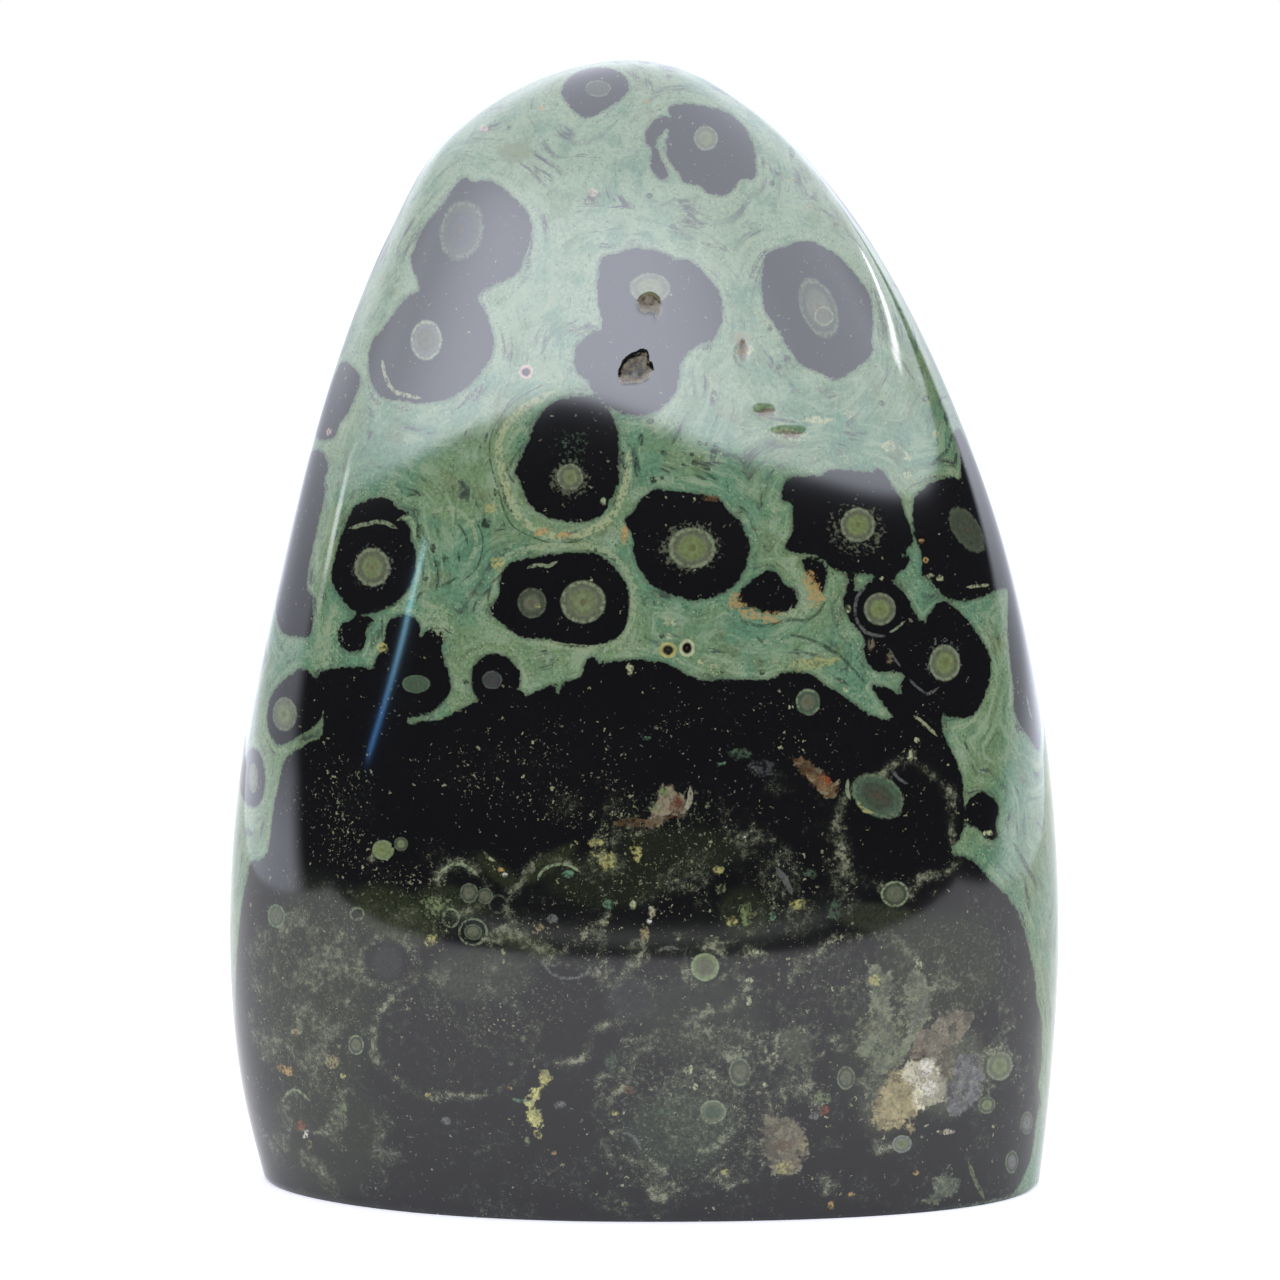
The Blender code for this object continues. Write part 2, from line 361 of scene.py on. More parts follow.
# Eyes of the orbs: x, y, half width, half height, tilt, outer and inner colour, rim strength, raggedness
EYES = (
    (598, 88, 13, 9, 0, "dim olive", "dim olive", 0.3, 0.8),
    (706, 138, 12, 13, 0, "grey olive", "olive", 0.4, 0.5),
    (461, 230, 22, 30, -8, "dim olive", "dim grey", 0.3, 1.0),
    (426, 340, 16, 20, 0, "grey", "grey olive", 0.9, 0.4),
    (819, 308, 18, 31, 22, "dim olive", "grey olive", 0.3, 0.5),
    (650, 288, 20, 15, 0, "grey olive", "olive", 0.3, 0.5),
    (372, 567, 18, 19, 0, "grey olive", "olive", 0.5, 0.8),
    (570, 477, 13, 13, 0, "grey olive", "olive", 0.6, 0.4),
    (532, 603, 14, 15, 0, "dim olive", "grey olive", 0.2, 0.4),
    (583, 602, 22, 21, 0, "grey olive", "olive", 0.7, 0.3),
    (692, 548, 23, 20, 0, "grey olive", "yellow green", 0.6, 0.5),
    (858, 525, 17, 17, 0, "grey olive", "yellow green", 0.6, 0.5),
    (880, 609, 16, 16, 0, "grey olive", "yellow green", 0.4, 0.2),
    (945, 663, 16, 18, 0, "grey olive", "yellow green", 0.6, 0.5),
    (968, 530, 14, 26, 35, "dim olive", "dim olive", 0.1, 1.0),
    (284, 714, 13, 17, 0, "grey olive", "olive", 0.3, 0.4),
    (253, 778, 5, 15, 0, "grey olive", "olive", 0.2, 0.3),
    (416, 684, 14, 9, 0, "dull green", "dull green", 0.1, 0.6),
    (492, 680, 10, 9, 0, "dim grey", "dim grey", 0.1, 0.8),
    (808, 702, 12, 13, 0, "dull green", "grey olive", 0.6, 0.7),
    (383, 850, 11, 10, 0, "olive", "yellow green", 0.3, 0.2),
    (401, 844, 7, 7, 0, "dim olive", "olive", 0.2, 0.2),
    (469, 893, 9, 10, 0, "dim olive", "grey olive", 0.3, 0.8),
    (485, 896, 8, 8, 0, "dim olive", "grey olive", 0.3, 0.8),
    (473, 932, 9, 8, 0, "dim olive", "grey olive", 0.2, 0.9),
    (356, 1045, 8, 10, 0, "dim olive", "grey olive", 0.8, 0.3),
    (705, 967, 14, 14, 0, "olive", "grey olive", 0.7, 0.5),
    (740, 1072, 11, 14, 0, "dim olive", "grey olive", 0.5, 0.3),
    (713, 1112, 13, 12, 0, "grey olive", "dull green", 0.6, 0.6),
    (895, 894, 14, 13, 0, "dim olive", "grey olive", 0.8, 0.3),
    (846, 1078, 9, 12, 0, "dim olive", "grey olive", 0.4, 0.5),
    (902, 1144, 10, 9, 0, "grey", "olive", 0.4, 0.3),
    (1000, 1066, 14, 15, 0, "grey olive", "olive", 0.5, 0.6),
    (987, 1105, 9, 9, 0, "dim olive", "olive", 0.4, 0.2),
    (1027, 1123, 7, 12, 0, "dim olive", "grey", 0.3, 0.2),
    (1012, 1162, 7, 12, 0, "dim olive", "grey", 0.4, 0.2),
    (276, 916, 9, 12, 0, "dull green", "grey olive", 0.5, 0.4),
    (526, 372, 7, 7, 0, "pink", "dark", 0.0, 0.5), (668, 650, 9, 8, 0, "yellow", "dark", 0.0, 1.0),
    (687, 648, 8, 9, 0, "cream", "black", 0.0, 0.8),
    (878, 796, 28, 20, -32, "dull green", "dim olive", 0.3, 0.8),
)

# How strong thin lines and rings are, with the rings' half width in pixels
STROKE_STRENGTH = 0.85
RING_STRENGTH = 0.6
RING_HALF_WIDTH = 1.0
RING_POINTS = 12

# Rings with nothing inside them: x, y, half width, half height, tilt, colour
RINGS_ONLY = (
    (287, 966, 12, 22, 14, "grey olive"), (451, 918, 8, 9, 0, "pale"), (357, 914, 7, 6, 0, "pale"),
    (498, 904, 9, 9, 0, "grey olive"), (473, 932, 14, 13, 0, "pale"), (824, 316, 9, 9, 0, "pale"),
)

# Small marks of each colour: x, y, half width, half height and, where it isn't 0, tilt
FLECKS = {
    "dark": (
        (646, 61, 12, 3), (666, 69, 10, 4, -15), (509, 128, 3, 3), (649, 196, 4, 3), (778, 174, 3, 3),
        (772, 183, 3, 3), (792, 152, 3, 8), (714, 398, 4, 9), (706, 347, 6, 4), (787, 358, 4, 4),
        (779, 367, 4, 3), (770, 328, 3, 4), (926, 398, 4, 4), (882, 403, 4, 3), (946, 417, 3, 7),
        (459, 556, 2, 5), (426, 579, 3, 3), (486, 438, 1.5, 6, -15), (480, 448, 1.5, 6, -15),
        (466, 432, 1.5, 5, -25), (495, 492, 2, 4), (636, 463, 2.5, 7), (625, 467, 2, 4), (641, 440, 2.5, 6),
        (650, 421, 4, 3), (663, 453, 4, 3), (700, 443, 2.5, 2.5), (706, 444, 2.5, 2.5),
        (692, 454, 2.5, 2.5), (695, 462, 4, 4), (684, 465, 3, 2, -30), (706, 468, 5, 2, -20),
        (662, 478, 3, 2), (623, 454, 2, 3), (662, 636, 3, 3),
    ),
    "orange": (
        (647, 101, 3, 3), (542, 108, 3, 3), (792, 180, 3, 3), (809, 206, 3, 3), (542, 532, 8, 4, 10),
        (564, 535, 8, 4), (624, 534, 4, 10), (921, 541, 3, 3), (926, 560, 3, 3), (285, 1070, 9, 5, -20),
        (501, 870, 4, 3), (554, 1153, 3, 2.5), (510, 1088, 3, 1.5, -20), (850, 1195, 3, 2.5),
        (831, 1206, 3.5, 4), (916, 1173, 3, 2.5),
    ),
    "yellow green": (
        (514, 152, 18, 11), (664, 792, 6, 5), (746, 914, 6, 12),
    ),
    "pink": (
        (593, 192, 5, 5), (483, 128, 5, 4), (329, 432, 4, 4),
    ),
    "brown": (
        (836, 224, 4, 3), (711, 498, 9, 4), (630, 1090, 7, 5), (782, 1146, 9, 7),
    ),
    "ochre": (
        (740, 338, 12, 6), (296, 1032, 6, 4), (332, 1062, 7, 8), (309, 1144, 3, 5), (540, 927, 5, 4),
        (645, 934, 5, 8), (804, 1146, 5, 9), (904, 1094, 5, 12, -30),
    ),
    "cream": (
        (748, 350, 6, 6), (817, 420, 16, 4), (848, 414, 6, 4), (888, 446, 7, 6), (907, 456, 5, 4),
        (906, 475, 5, 4), (936, 434, 4, 4), (848, 609, 3, 4), (929, 576, 4, 3), (940, 578, 4, 3),
        (912, 755, 5, 6), (917, 740, 3, 3), (988, 833, 5, 3), (630, 669, 4, 6), (669, 622, 7, 5),
        (668, 636, 4, 3), (702, 661, 5, 4), (714, 666, 4, 3), (846, 689, 3, 3), (633, 905, 3, 5),
        (756, 951, 4, 3), (750, 981, 4, 3), (749, 1000, 3, 5), (691, 1069, 2, 4), (695, 1087, 3, 3),
        (765, 1085, 3, 3), (919, 964, 4, 5),
    ),
    "pale": (
        (788, 434, 22, 7, -8), (603, 501, 3, 4),
    ),
    "black": (
        (404, 528, 7, 7), (419, 532, 3, 8), (433, 548, 3, 5), (445, 559, 4, 4), (437, 563, 3, 3),
        (486, 524, 5, 5), (714, 452, 4, 9, -10), (653, 480, 4, 3), (466, 682, 4, 3), (723, 672, 3, 2),
        (762, 672, 4, 3),
    ),
    "teal": (
        (434, 524, 11, 7), (647, 738, 5, 2), (722, 764, 5, 2, 20), (568, 874, 6, 4), (608, 904, 6, 5),
        (773, 916, 3, 5),
    ),
    "yellow": (
        (490, 508, 6, 6), (538, 606, 2.5, 2.5), (498, 564, 7, 8), (382, 648, 6, 5), (431, 940, 7, 7),
        (343, 1076, 3, 3), (428, 1095, 3, 3), (596, 843, 9, 4, 10), (608, 862, 9, 9), (638, 854, 4, 8),
        (538, 1134, 4, 5, 20), (732, 922, 6, 5), (798, 904, 7, 6), (718, 870, 5, 4), (615, 1113, 4, 3),
        (784, 1168, 10, 7), (726, 1172, 5, 3), (875, 980, 6, 6),
    ),
    "tan": (
        (871, 644, 4, 6), (890, 658, 4, 6),
    ),
    "olive": (
        (654, 806, 6, 5), (437, 906, 9, 7), (343, 1108, 5, 7), (527, 1141, 3, 5), (721, 889, 5, 5),
        (657, 1217, 4, 3), (625, 1204, 3, 3), (822, 1098, 9, 8),
    ),
    "dark red": (
        (676, 804, 6, 10, -10), (811, 771, 4, 2, -30), (918, 1054, 7, 6),
    ),
    "dull green": (
        (740, 754, 12, 6, -8), (810, 874, 7, 5), (666, 1112, 8, 5), (612, 1062, 7, 10), (834, 910, 8, 11),
    ),
    "dim grey": (
        (762, 768, 13, 9),
    ),
    "rust": (
        (826, 780, 7, 4, -35), (285, 1071, 3, 3), (301, 1126, 6, 6), (824, 1110, 6, 5),
    ),
    "white": (
        (306, 1134, 3, 5, -20), (505, 875, 3, 3), (552, 920, 2, 2), (649, 921, 3, 3), (745, 837, 1.2, 1.2),
        (751, 831, 1.5, 1), (624, 1113, 1, 2), (926, 1068, 8, 10, 20), (930, 1088, 7, 8),
    ),
    "light grey": (
        (411, 1137, 5, 1.2), (446, 1121, 5, 4), (552, 919, 6, 5), (560, 1105, 6, 4),
    ),
    "grey olive": (
        (600, 936, 8, 7), (523, 1039, 3, 4), (526, 1031, 2, 2), (511, 1063, 3, 3), (694, 1010, 4, 3),
        (676, 1015, 4, 3),
    ),
    "quartz": (
        (652, 912, 4, 6), (946, 1132, 8, 3),
    ),
    "grey": (
        (814, 1116, 5, 4),
    ),
}

# Hairlines, arcs and slivers of each colour: half width, points
STROKES = {
    "cream": (
        (3.6, ((552, 392), (524, 408), (502, 432), (499, 456), (506, 484), (520, 518), (560, 537),
            (604, 523), (624, 490), (630, 450))),
        (2.0, ((382, 360), (386, 378), (396, 392), (420, 398))),
        (1.5, ((968, 587), (978, 586), (988, 585))),
        (1.6, ((914, 716), (920, 720), (928, 727), (936, 735))),
        (1.5, ((484, 852), (489, 858), (495, 861))),
    ),
    "dark": (
        (1.5, ((740, 620), (750, 624), (762, 626), (774, 624), (790, 620), (806, 620), (818, 613),
            (825, 602))),
        (0.8, ((544, 384), (514, 402), (493, 430), (490, 458), (498, 488), (513, 526), (556, 546))),
        (0.8, ((476, 520), (483, 540), (478, 566), (464, 580))),
        (2.0, ((888, 338), (900, 358), (914, 380))), (2.0, ((952, 434), (947, 450), (931, 465))),
        (1.5, ((795, 170), (800, 180), (806, 191))), (2.0, ((702, 243), (709, 245), (716, 247))),
        (1.5, ((738, 342), (734, 354), (738, 364), (746, 369))),
        (1.5, ((768, 418), (782, 420), (796, 422))), (1.2, ((458, 524), (465, 534), (468, 546))),
        (1.8, ((439, 587), (448, 583), (456, 578))), (1.8, ((417, 601), (419, 595), (425, 591))),
        (1.5, ((408, 496), (415, 494), (422, 496))),
        (1.3, ((488, 604), (489, 592), (493, 582), (504, 572))),
        (1.3, ((592, 549), (608, 556), (622, 566), (631, 582))),
        (1.3, ((506, 466), (509, 475), (515, 484))), (1.3, ((503, 492), (506, 503), (513, 513))),
        (1.3, ((558, 542), (572, 542), (585, 537))), (1.5, ((682, 423), (678, 433), (672, 444))),
        (1.5, ((694, 474), (700, 477), (707, 480))), (1.5, ((704, 472), (711, 476), (719, 481))),
        (2.0, ((758, 638), (763, 643))),
        (1.5, ((790, 635), (806, 638), (822, 645), (838, 654), (852, 668), (866, 684))),
        (1.4, ((382, 618), (382, 630), (382, 640))), (1.4, ((370, 613), (382, 609), (400, 602))),
        (1.2, ((442, 627), (447, 631), (452, 634))), (2.5, ((255, 708), (252, 726), (250, 744))),
        (2.0, ((1025, 885), (1027, 896), (1029, 910))),
    ),
    "pale": (
        (3.0, ((495, 568), (512, 554), (540, 547), (580, 545), (614, 557), (633, 588), (627, 631),
            (599, 648), (540, 643))),
        (2.0, ((432, 512), (452, 508), (470, 522), (476, 544), (468, 566))),
        (2.0, ((350, 528), (362, 525), (382, 522), (396, 528))),
        (2.0, ((398, 520), (406, 517), (412, 522), (416, 538))),
        (1.6, ((528, 568), (536, 565), (548, 566), (556, 562))),
        (1.2, ((890, 632), (896, 629), (904, 622))), (1.6, ((1027, 697), (1029, 708), (1032, 719))),
        (2.0, ((848, 780), (847, 790), (850, 799))),
        (1.5, ((283, 1100), (289, 1092), (297, 1090), (309, 1100))),
        (1.5, ((438, 880), (443, 870), (454, 864), (468, 867), (478, 876))),
        (1.3, ((538, 880), (542, 871), (554, 865), (568, 865), (580, 872))),
    ),
    "light grey": (
        (1.6, ((866, 586), (858, 596), (855, 612), (860, 626), (870, 634), (884, 636))),
        (1.6, ((892, 770), (898, 778), (908, 784))),
        (1.5, ((543, 962), (550, 972), (562, 978), (576, 978), (586, 974), (593, 964))),
        (1.5, ((660, 950), (669, 947), (679, 949))), (3.0, ((776, 868), (784, 878), (792, 894))),
        (1.5, ((620, 1132), (632, 1136), (638, 1143), (641, 1151))),
        (1.6, ((927, 996), (922, 1008), (912, 1026))),
        (1.2, ((370, 1152), (382, 1150), (390, 1154), (400, 1152))),
    ),
    "grey": (
        (1.2, ((910, 680), (918, 688), (928, 694), (938, 688))),
        (1.2, ((890, 650), (894, 658), (900, 666))), (2.0, ((968, 1062), (964, 1078), (960, 1093))),
    ),
    "brown": (
        (4.0, ((614, 824), (630, 822), (648, 823), (668, 818))),
    ),
    "yellow": (
        (1.8, ((858, 802), (864, 810), (873, 813))),
    ),
    "quartz": (
        (2.5, ((690, 788), (690, 800), (684, 812))),
    ),
    "teal": (
        (1.8, ((512, 1098), (520, 1101), (529, 1101))),
    ),
    "olive": (
        (2.2, ((969, 1163), (975, 1180), (984, 1198))),
    ),
    "black": (
        (2.5, ((1014, 844), (1022, 858), (1031, 874), (1037, 888))),
        (2.2, ((1056, 912), (1058, 940), (1057, 980))),
    ),
}

# Patches with a sharp ragged edge: colour and outline
PATCHES = {
    "cream fleck": ("yellow", ((544, 1074), (550, 1077), (549, 1084), (544, 1092), (539, 1100), (537, 1112),
        (542, 1124), (535, 1126), (529, 1116), (526, 1102), (532, 1092), (538, 1082))),
    "orange streak": ("brown", ((792, 760), (808, 762), (822, 771), (835, 779), (837, 788), (826, 795),
        (814, 788), (802, 776))),
    "red spot edge": ("tan", ((660, 786), (672, 784), (682, 788), (690, 796), (690, 808), (680, 818),
        (666, 822), (648, 824), (652, 812), (656, 800))),
    "brown patch": ("umber", ((960, 1008), (972, 1010), (976, 1020), (964, 1036), (954, 1050), (958, 1066),
        (960, 1080), (950, 1088), (940, 1080), (932, 1070), (930, 1060), (908, 1060), (914, 1048),
        (920, 1036), (930, 1024), (942, 1012))),
    "ochre crystals": ("ochre", ((896, 1070), (912, 1080), (918, 1098), (910, 1120), (916, 1132),
        (900, 1128), (884, 1130), (874, 1124), (872, 1110), (878, 1092), (884, 1078))),
    "quartz": ("quartz", ((900, 1066), (920, 1052), (934, 1058), (946, 1078), (944, 1102), (928, 1108),
        (910, 1096))),
    "clear quartz": ("lilac grey", ((950, 1064), (972, 1052), (982, 1078), (976, 1104), (958, 1116),
        (944, 1100))),
    "lichen patch": ("grey olive", ((868, 965), (893, 982), (889, 1005), (893, 1029), (908, 1035),
        (908, 980), (920, 972), (933, 999), (926, 1026), (912, 1046), (900, 1062), (884, 1074), (866, 1060),
        (858, 1046), (866, 1034), (880, 1030), (872, 1000))),
    "tan blob": ("umber", ((762, 1118), (780, 1114), (798, 1118), (808, 1142), (800, 1166), (786, 1176),
        (774, 1172), (764, 1150))),
    "green corner": ("dim olive", ((940, 1176), (948, 1172), (958, 1178), (956, 1196), (924, 1202),
        (930, 1190))),
}

# Grains on an even ground: x, y, half width, half height, tilt, colour, density
GRAINS = (
    (736, 602, 8, 8, 0, "orange", 0.9), (748, 612, 12, 7, -25, "orange", 0.9),
    (770, 618, 16, 6, -5, "orange", 0.8), (796, 612, 16, 7, 15, "pale", 0.9),
    (816, 596, 9, 12, 0, "orange", 0.95), (810, 580, 8, 10, 0, "orange", 0.9),
    (690, 547, 31, 25, 0, "grey olive", 0.75), (857, 530, 31, 26, 0, "grey olive", 0.6),
    (572, 444, 17, 14, 0, "dull green", 0.5), (570, 480, 20, 18, 0, "grey olive", 0.8),
    (372, 567, 21, 22, 0, "grey", 0.6), (944, 660, 19, 22, 0, "grey", 0.5),
    (815, 662, 26, 7, 5, "yellow", 0.8), (440, 620, 14, 20, 0, "pale", 0.6),
    (332, 640, 12, 26, 0, "pale", 0.6), (437, 906, 18, 12, 0, "olive", 0.7),
    (596, 856, 12, 8, 30, "yellow", 0.5), (636, 850, 7, 10, 0, "yellow", 0.5),
    (500, 1000, 90, 40, 0, "grey olive", 0.25), (690, 1110, 92, 84, 0, "grey olive", 0.35),
    (960, 970, 70, 50, 0, "grey olive", 0.35), (300, 1000, 60, 120, 0, "grey olive", 0.35),
    (880, 1040, 30, 34, 20, "olive", 0.5), (900, 1000, 30, 30, 0, "olive", 0.4),
    (660, 810, 60, 22, 10, "olive", 0.3),
)

# Soft stains: x, y, half width, half height, tilt, colour, strength
STAINS = (
    (395, 916, 46, 26, -20, "moss", 0.52), (450, 902, 34, 16, -10, "moss", 0.39),
    (498, 872, 26, 9, -40, "moss", 0.45), (548, 864, 32, 9, 35, "moss", 0.45),
    (525, 944, 34, 10, -20, "moss", 0.39), (610, 880, 60, 26, 0, "moss", 0.26),
    (680, 850, 60, 22, 0, "moss", 0.26), (745, 912, 24, 24, 0, "moss", 0.33),
    (880, 918, 40, 14, -5, "olive", 0.15), (310, 1000, 60, 110, 0, "moss", 0.36),
    (320, 1140, 60, 60, 0, "moss", 0.33), (680, 1130, 50, 40, 0, "dull green", 0.3),
    (945, 965, 60, 50, 0, "moss", 0.39), (900, 1060, 60, 60, 0, "moss", 0.26),
    (884, 1040, 18, 26, 25, "olive", 0.4), (945, 1070, 40, 44, 0, "grey olive", 0.6),
    (885, 1100, 26, 34, 0, "grey olive", 0.4), (870, 1032, 10, 10, 0, "tan", 0.5),
    (387, 962, 15, 17, 0, "dim grey", 0.5), (480, 975, 50, 26, 0, "dim olive", 0.5),
    (630, 1000, 24, 22, 0, "dim grey", 0.4), (796, 1044, 15, 17, 0, "grey olive", 0.4),
    (700, 1020, 60, 40, 0, "dim olive", 0.3), (1044, 1080, 8, 70, 0, "olive", 0.3),
)

# Pale specks in the black stone: x, y, half width, half height, tilt, density of cream and of grey ones
SPECKS = (
    (340, 820, 40, 70, 0, 0.34, 0.2), (500, 770, 90, 36, 0, 0.26, 0.15), (590, 806, 46, 34, 0, 0.4, 0.4),
    (640, 730, 120, 34, 0, 0.14, 0.05), (800, 720, 60, 44, 0, 0.15, 0.1), (930, 760, 50, 60, 0, 0.1, 0.1),
    (760, 830, 70, 60, 0, 0.16, 0.55), (640, 870, 110, 60, 0, 0.34, 0.5), (420, 900, 110, 60, 0, 0.34, 0.4),
    (560, 930, 90, 50, 0, 0.26, 0.5), (800, 900, 110, 60, 0, 0.24, 0.45), (960, 900, 70, 60, 0, 0.08, 0.3),
    (300, 1000, 80, 130, 0, 0.22, 0.7), (460, 1000, 120, 56, 0, 0.2, 0.7),
    (640, 990, 120, 50, 0, 0.16, 0.6), (690, 1110, 110, 100, 0, 0.2, 0.75),
    (860, 1040, 130, 110, 0, 0.16, 0.65), (320, 1150, 110, 60, 0, 0.12, 0.6),
    (900, 1180, 130, 40, 0, 0.06, 0.3), (560, 1200, 200, 30, 0, 0.05, 0.4),
    (1000, 1080, 44, 120, 0, 0.1, 0.5), (364, 872, 40, 9, 42, 0.3, 1.0), (430, 904, 46, 10, 20, 0.3, 1.0),
    (510, 930, 50, 9, 22, 0.3, 1.0), (610, 944, 70, 8, 2, 0.2, 0.95), (300, 930, 40, 30, 0, 0.2, 0.8),
    (330, 1090, 26, 90, 10, 0.2, 0.95), (450, 990, 60, 16, 25, 0.2, 0.9), (680, 1180, 80, 14, 0, 0.2, 0.95),
    (810, 1178, 60, 12, -30, 0.2, 0.95), (800, 1040, 30, 40, 0, 0.2, 0.85), (950, 980, 40, 40, 0, 0.3, 0.8),
    (720, 950, 80, 14, -12, 0.1, 0.8), (880, 1150, 30, 14, -30, 0.2, 0.9),
    (500, 1110, 80, 60, 0, 0.03, 0.08),
)

# Hollows that the polish did not reach: depth in millimetres, outline in photograph pixels
PITS = {
    "eye pit": (0.4, ((650, 294), (640, 298), (635, 304), (643, 313), (652, 313), (659, 322), (663, 311),
        (660, 300))),
    "dark pit": (0.6, ((620, 382), (621, 370), (628, 360), (642, 354), (650, 358), (647, 363), (652, 370),
        (650, 378), (640, 382), (628, 383))),
    "ochre pit": (0.15, ((741, 336), (748, 342), (751, 350), (749, 360), (742, 364), (736, 356),
        (735, 345))),
    "upper scrape": (0.12, ((752, 409), (764, 405), (778, 410), (776, 419), (764, 421), (753, 418))),
    "lower scrape": (0.12, ((768, 434), (782, 428), (802, 429), (812, 434), (800, 441), (780, 441))),
    "quartz pit": (0.35, ((912, 1048), (922, 1046), (927, 1054), (920, 1062), (911, 1059))),
}

# How far in from its outline a pit reaches its depth, in millimetres
PIT_WALL = 1.0

# The back, which the photograph doesn't show: where the black mass ends, and orbs like those in front
BACK_MASS_PLACES = (-0.06, 0.0, 0.1, 0.25, 0.4, 0.55, 0.7, 0.85, 0.95, 1.0)
BACK_MASS_HEIGHTS = (28.0, 29.0, 36.0, 46.0, 38.0, 34.0, 46.0, 36.0, 12.0, -12.0)
BACK_SPAN = 45.0

# Faint orbs in the black stone, drawn only by their dust: x, y, half width, half height, tilt, dust inside
GHOST_ORBS = (
    (690, 1110, 92, 86, 0, 0.6), (690, 1112, 74, 68, 0, 0.35), (700, 1108, 40, 38, 0, 0.75),
    (387, 962, 27, 26, 0, 0.1), (556, 905, 46, 44, 0, 0.25), (460, 890, 24, 26, 0, 0.2),
    (680, 985, 60, 34, 0, 0.3), (630, 1000, 24, 22, 0, 0.2), (343, 986, 14, 13, 0, 0.2),
    (796, 1044, 20, 22, 0, 0.6), (850, 985, 70, 46, 20, 0.5), (540, 1010, 70, 50, 0, 0.12),
    (705, 968, 20, 20, 0, 0.3), (1000, 1066, 19, 20, 0, 0.3), (310, 1110, 26, 24, 0, 0.4),
    (450, 1040, 80, 60, 0, 0.35), (900, 830, 60, 60, 0, 0.05),
)

# Width over which the dusty edge of a faint orb fades, in millimetres
GHOST_EDGE_WIDTH = 0.75

# Slow changes of the green ground towards teal, olive and pale: wavelength, octaves, seed
GROUND_NOISE = ((9.0, 4, 31), (3.2, 4, 32), (2.4, 3, 33))

# Seeded orbs and small eyes on the back, with radii and gaps in millimetres
BACK_SEED = 11
BACK_ORBS = 26
BACK_TRIES = 900
BACK_ORB_RADIUS = (3.2, 7.2)
BACK_GAP_TO_BLACK = 0.8
BACK_GAP_TO_ORB = 0.6
BACK_EYES = 16
BACK_ORB_EYES = (("grey olive", "yellow green"), ("dim olive", "grey olive"), ("grey olive", "olive"))
BACK_SMALL_EYES = (("dim olive", "grey olive"), ("grey olive", "dull green"))


def linear(name):
    """A named colour's values as light."""
    values = np.array(COLOURS[name]) / 255.0
    return np.where(values <= 0.04045, values / 12.92, ((values + 0.055) / 1.055) ** 2.4)


def rgba(colour, alpha=1.0):
    return (*linear(colour), alpha)


def smooth_step(low, high, values):
    t = np.clip((values - low) / (high - low), 0.0, 1.0)
    return t * t * (3.0 - 2.0 * t)


def uneven(points, wavelength, octaves, seed):
    """Gradient noise over space, 0 to 1, with finer and weaker octaves on top."""
    random = np.random.default_rng(seed)
    slopes = unit(random.normal(size=(DIRECTIONS, 3)))
    total = np.zeros(points.shape[:-1])
    weight = 0.0
    for octave in range(octaves):
        at = points * (2.0**octave / wavelength) + 37.0 * (octave + 1)
        cell = np.floor(at).astype(np.int64)
        within = at - cell
        eased = within**3 * (within * (6.0 * within - 15.0) + 10.0)
        value = 0.0
        for corner in np.ndindex(2, 2, 2):
            place = (cell + corner) @ CELL_FACTORS
            slope = slopes[(place ^ (place >> 7)) % DIRECTIONS]
            share = np.prod(np.where(corner, eased, 1.0 - eased), axis=-1)
            value = value + share * np.sum(slope * (within - corner), axis=-1)
        total += value * OCTAVE_SHARE**octave
        weight += OCTAVE_SHARE**octave
    return np.clip(0.5 + 0.85 * total / weight, 0.0, 1.0)


def wobble(points, wavelength, seed):
    """Smooth uneven values between about -1 and 1 over space."""
    random = np.random.default_rng(seed)
    total = np.zeros(points.shape[:-1])
    for _ in range(WAVES):
        direction = random.normal(size=3)
        direction *= 2 * math.pi / wavelength / np.linalg.norm(direction) * random.uniform(0.7, 1.4)
        total += np.sin(points @ direction + random.uniform(0, 2 * math.pi))
    return total / (WAVES / 2)


class Spot:
    """An ellipse on the stone, from its place and size in the photograph."""

    def __init__(self, surface, x, y, half_width, half_height, tilt=0.0):
        self.centre = surface.value_at(surface.points, (x, y))
        self.out = unit(surface.value_at(surface.normals, (x, y)))
        side = unit(np.cross((0.0, 0.0, 1.0), self.out))
        self.axes = np.stack([side, np.cross(self.out, side)])
        seen = np.stack([self.axes @ (1.0, 0.0, 0.0), self.axes @ UPWARD]) * PIXELS_PER_MM
        angle = math.radians(tilt)
        frame_axes = np.array(((math.cos(angle), math.sin(angle)), (-math.sin(angle), math.cos(angle))))
        self.to_unit = (frame_axes / np.array((half_width, half_height))[:, None]) @ seen
        self.size = 1.0 / np.linalg.svd(self.to_unit, compute_uv=False)

    def places(self, points, normals):
        """Places within the ellipse, 1 at its edge, and which points are near enough to count."""
        offset = points - self.centre
        reach = 2.0 * self.size.max() + MARK_MARGIN
        near = (np.sum(offset**2, axis=-1) < reach**2) & (normals @ self.out > SAME_SIDE)
        places = np.full(points.shape[:-1] + (2,), FAR)
        places[near] = (offset[near] @ self.axes.T) @ self.to_unit.T
        return places, near


class BackSpot(Spot):
    """A round spot that is placed on the surface itself."""

    def __init__(self, centre, out, radius):
        self.centre = centre
        self.out = out
        side = unit(np.cross((0.0, 0.0, 1.0), out))
        self.axes = np.stack([side, np.cross(out, side)])
        self.to_unit = np.eye(2) / radius
        self.size = np.array((radius, radius))


def corner_values(grid):
    """The four corner values of each face of the grid, whose columns close on themselves."""
    right = np.roll(grid, -1, axis=1)
    return np.stack([grid[:-1], right[:-1], right[1:], grid[1:]], axis=2)


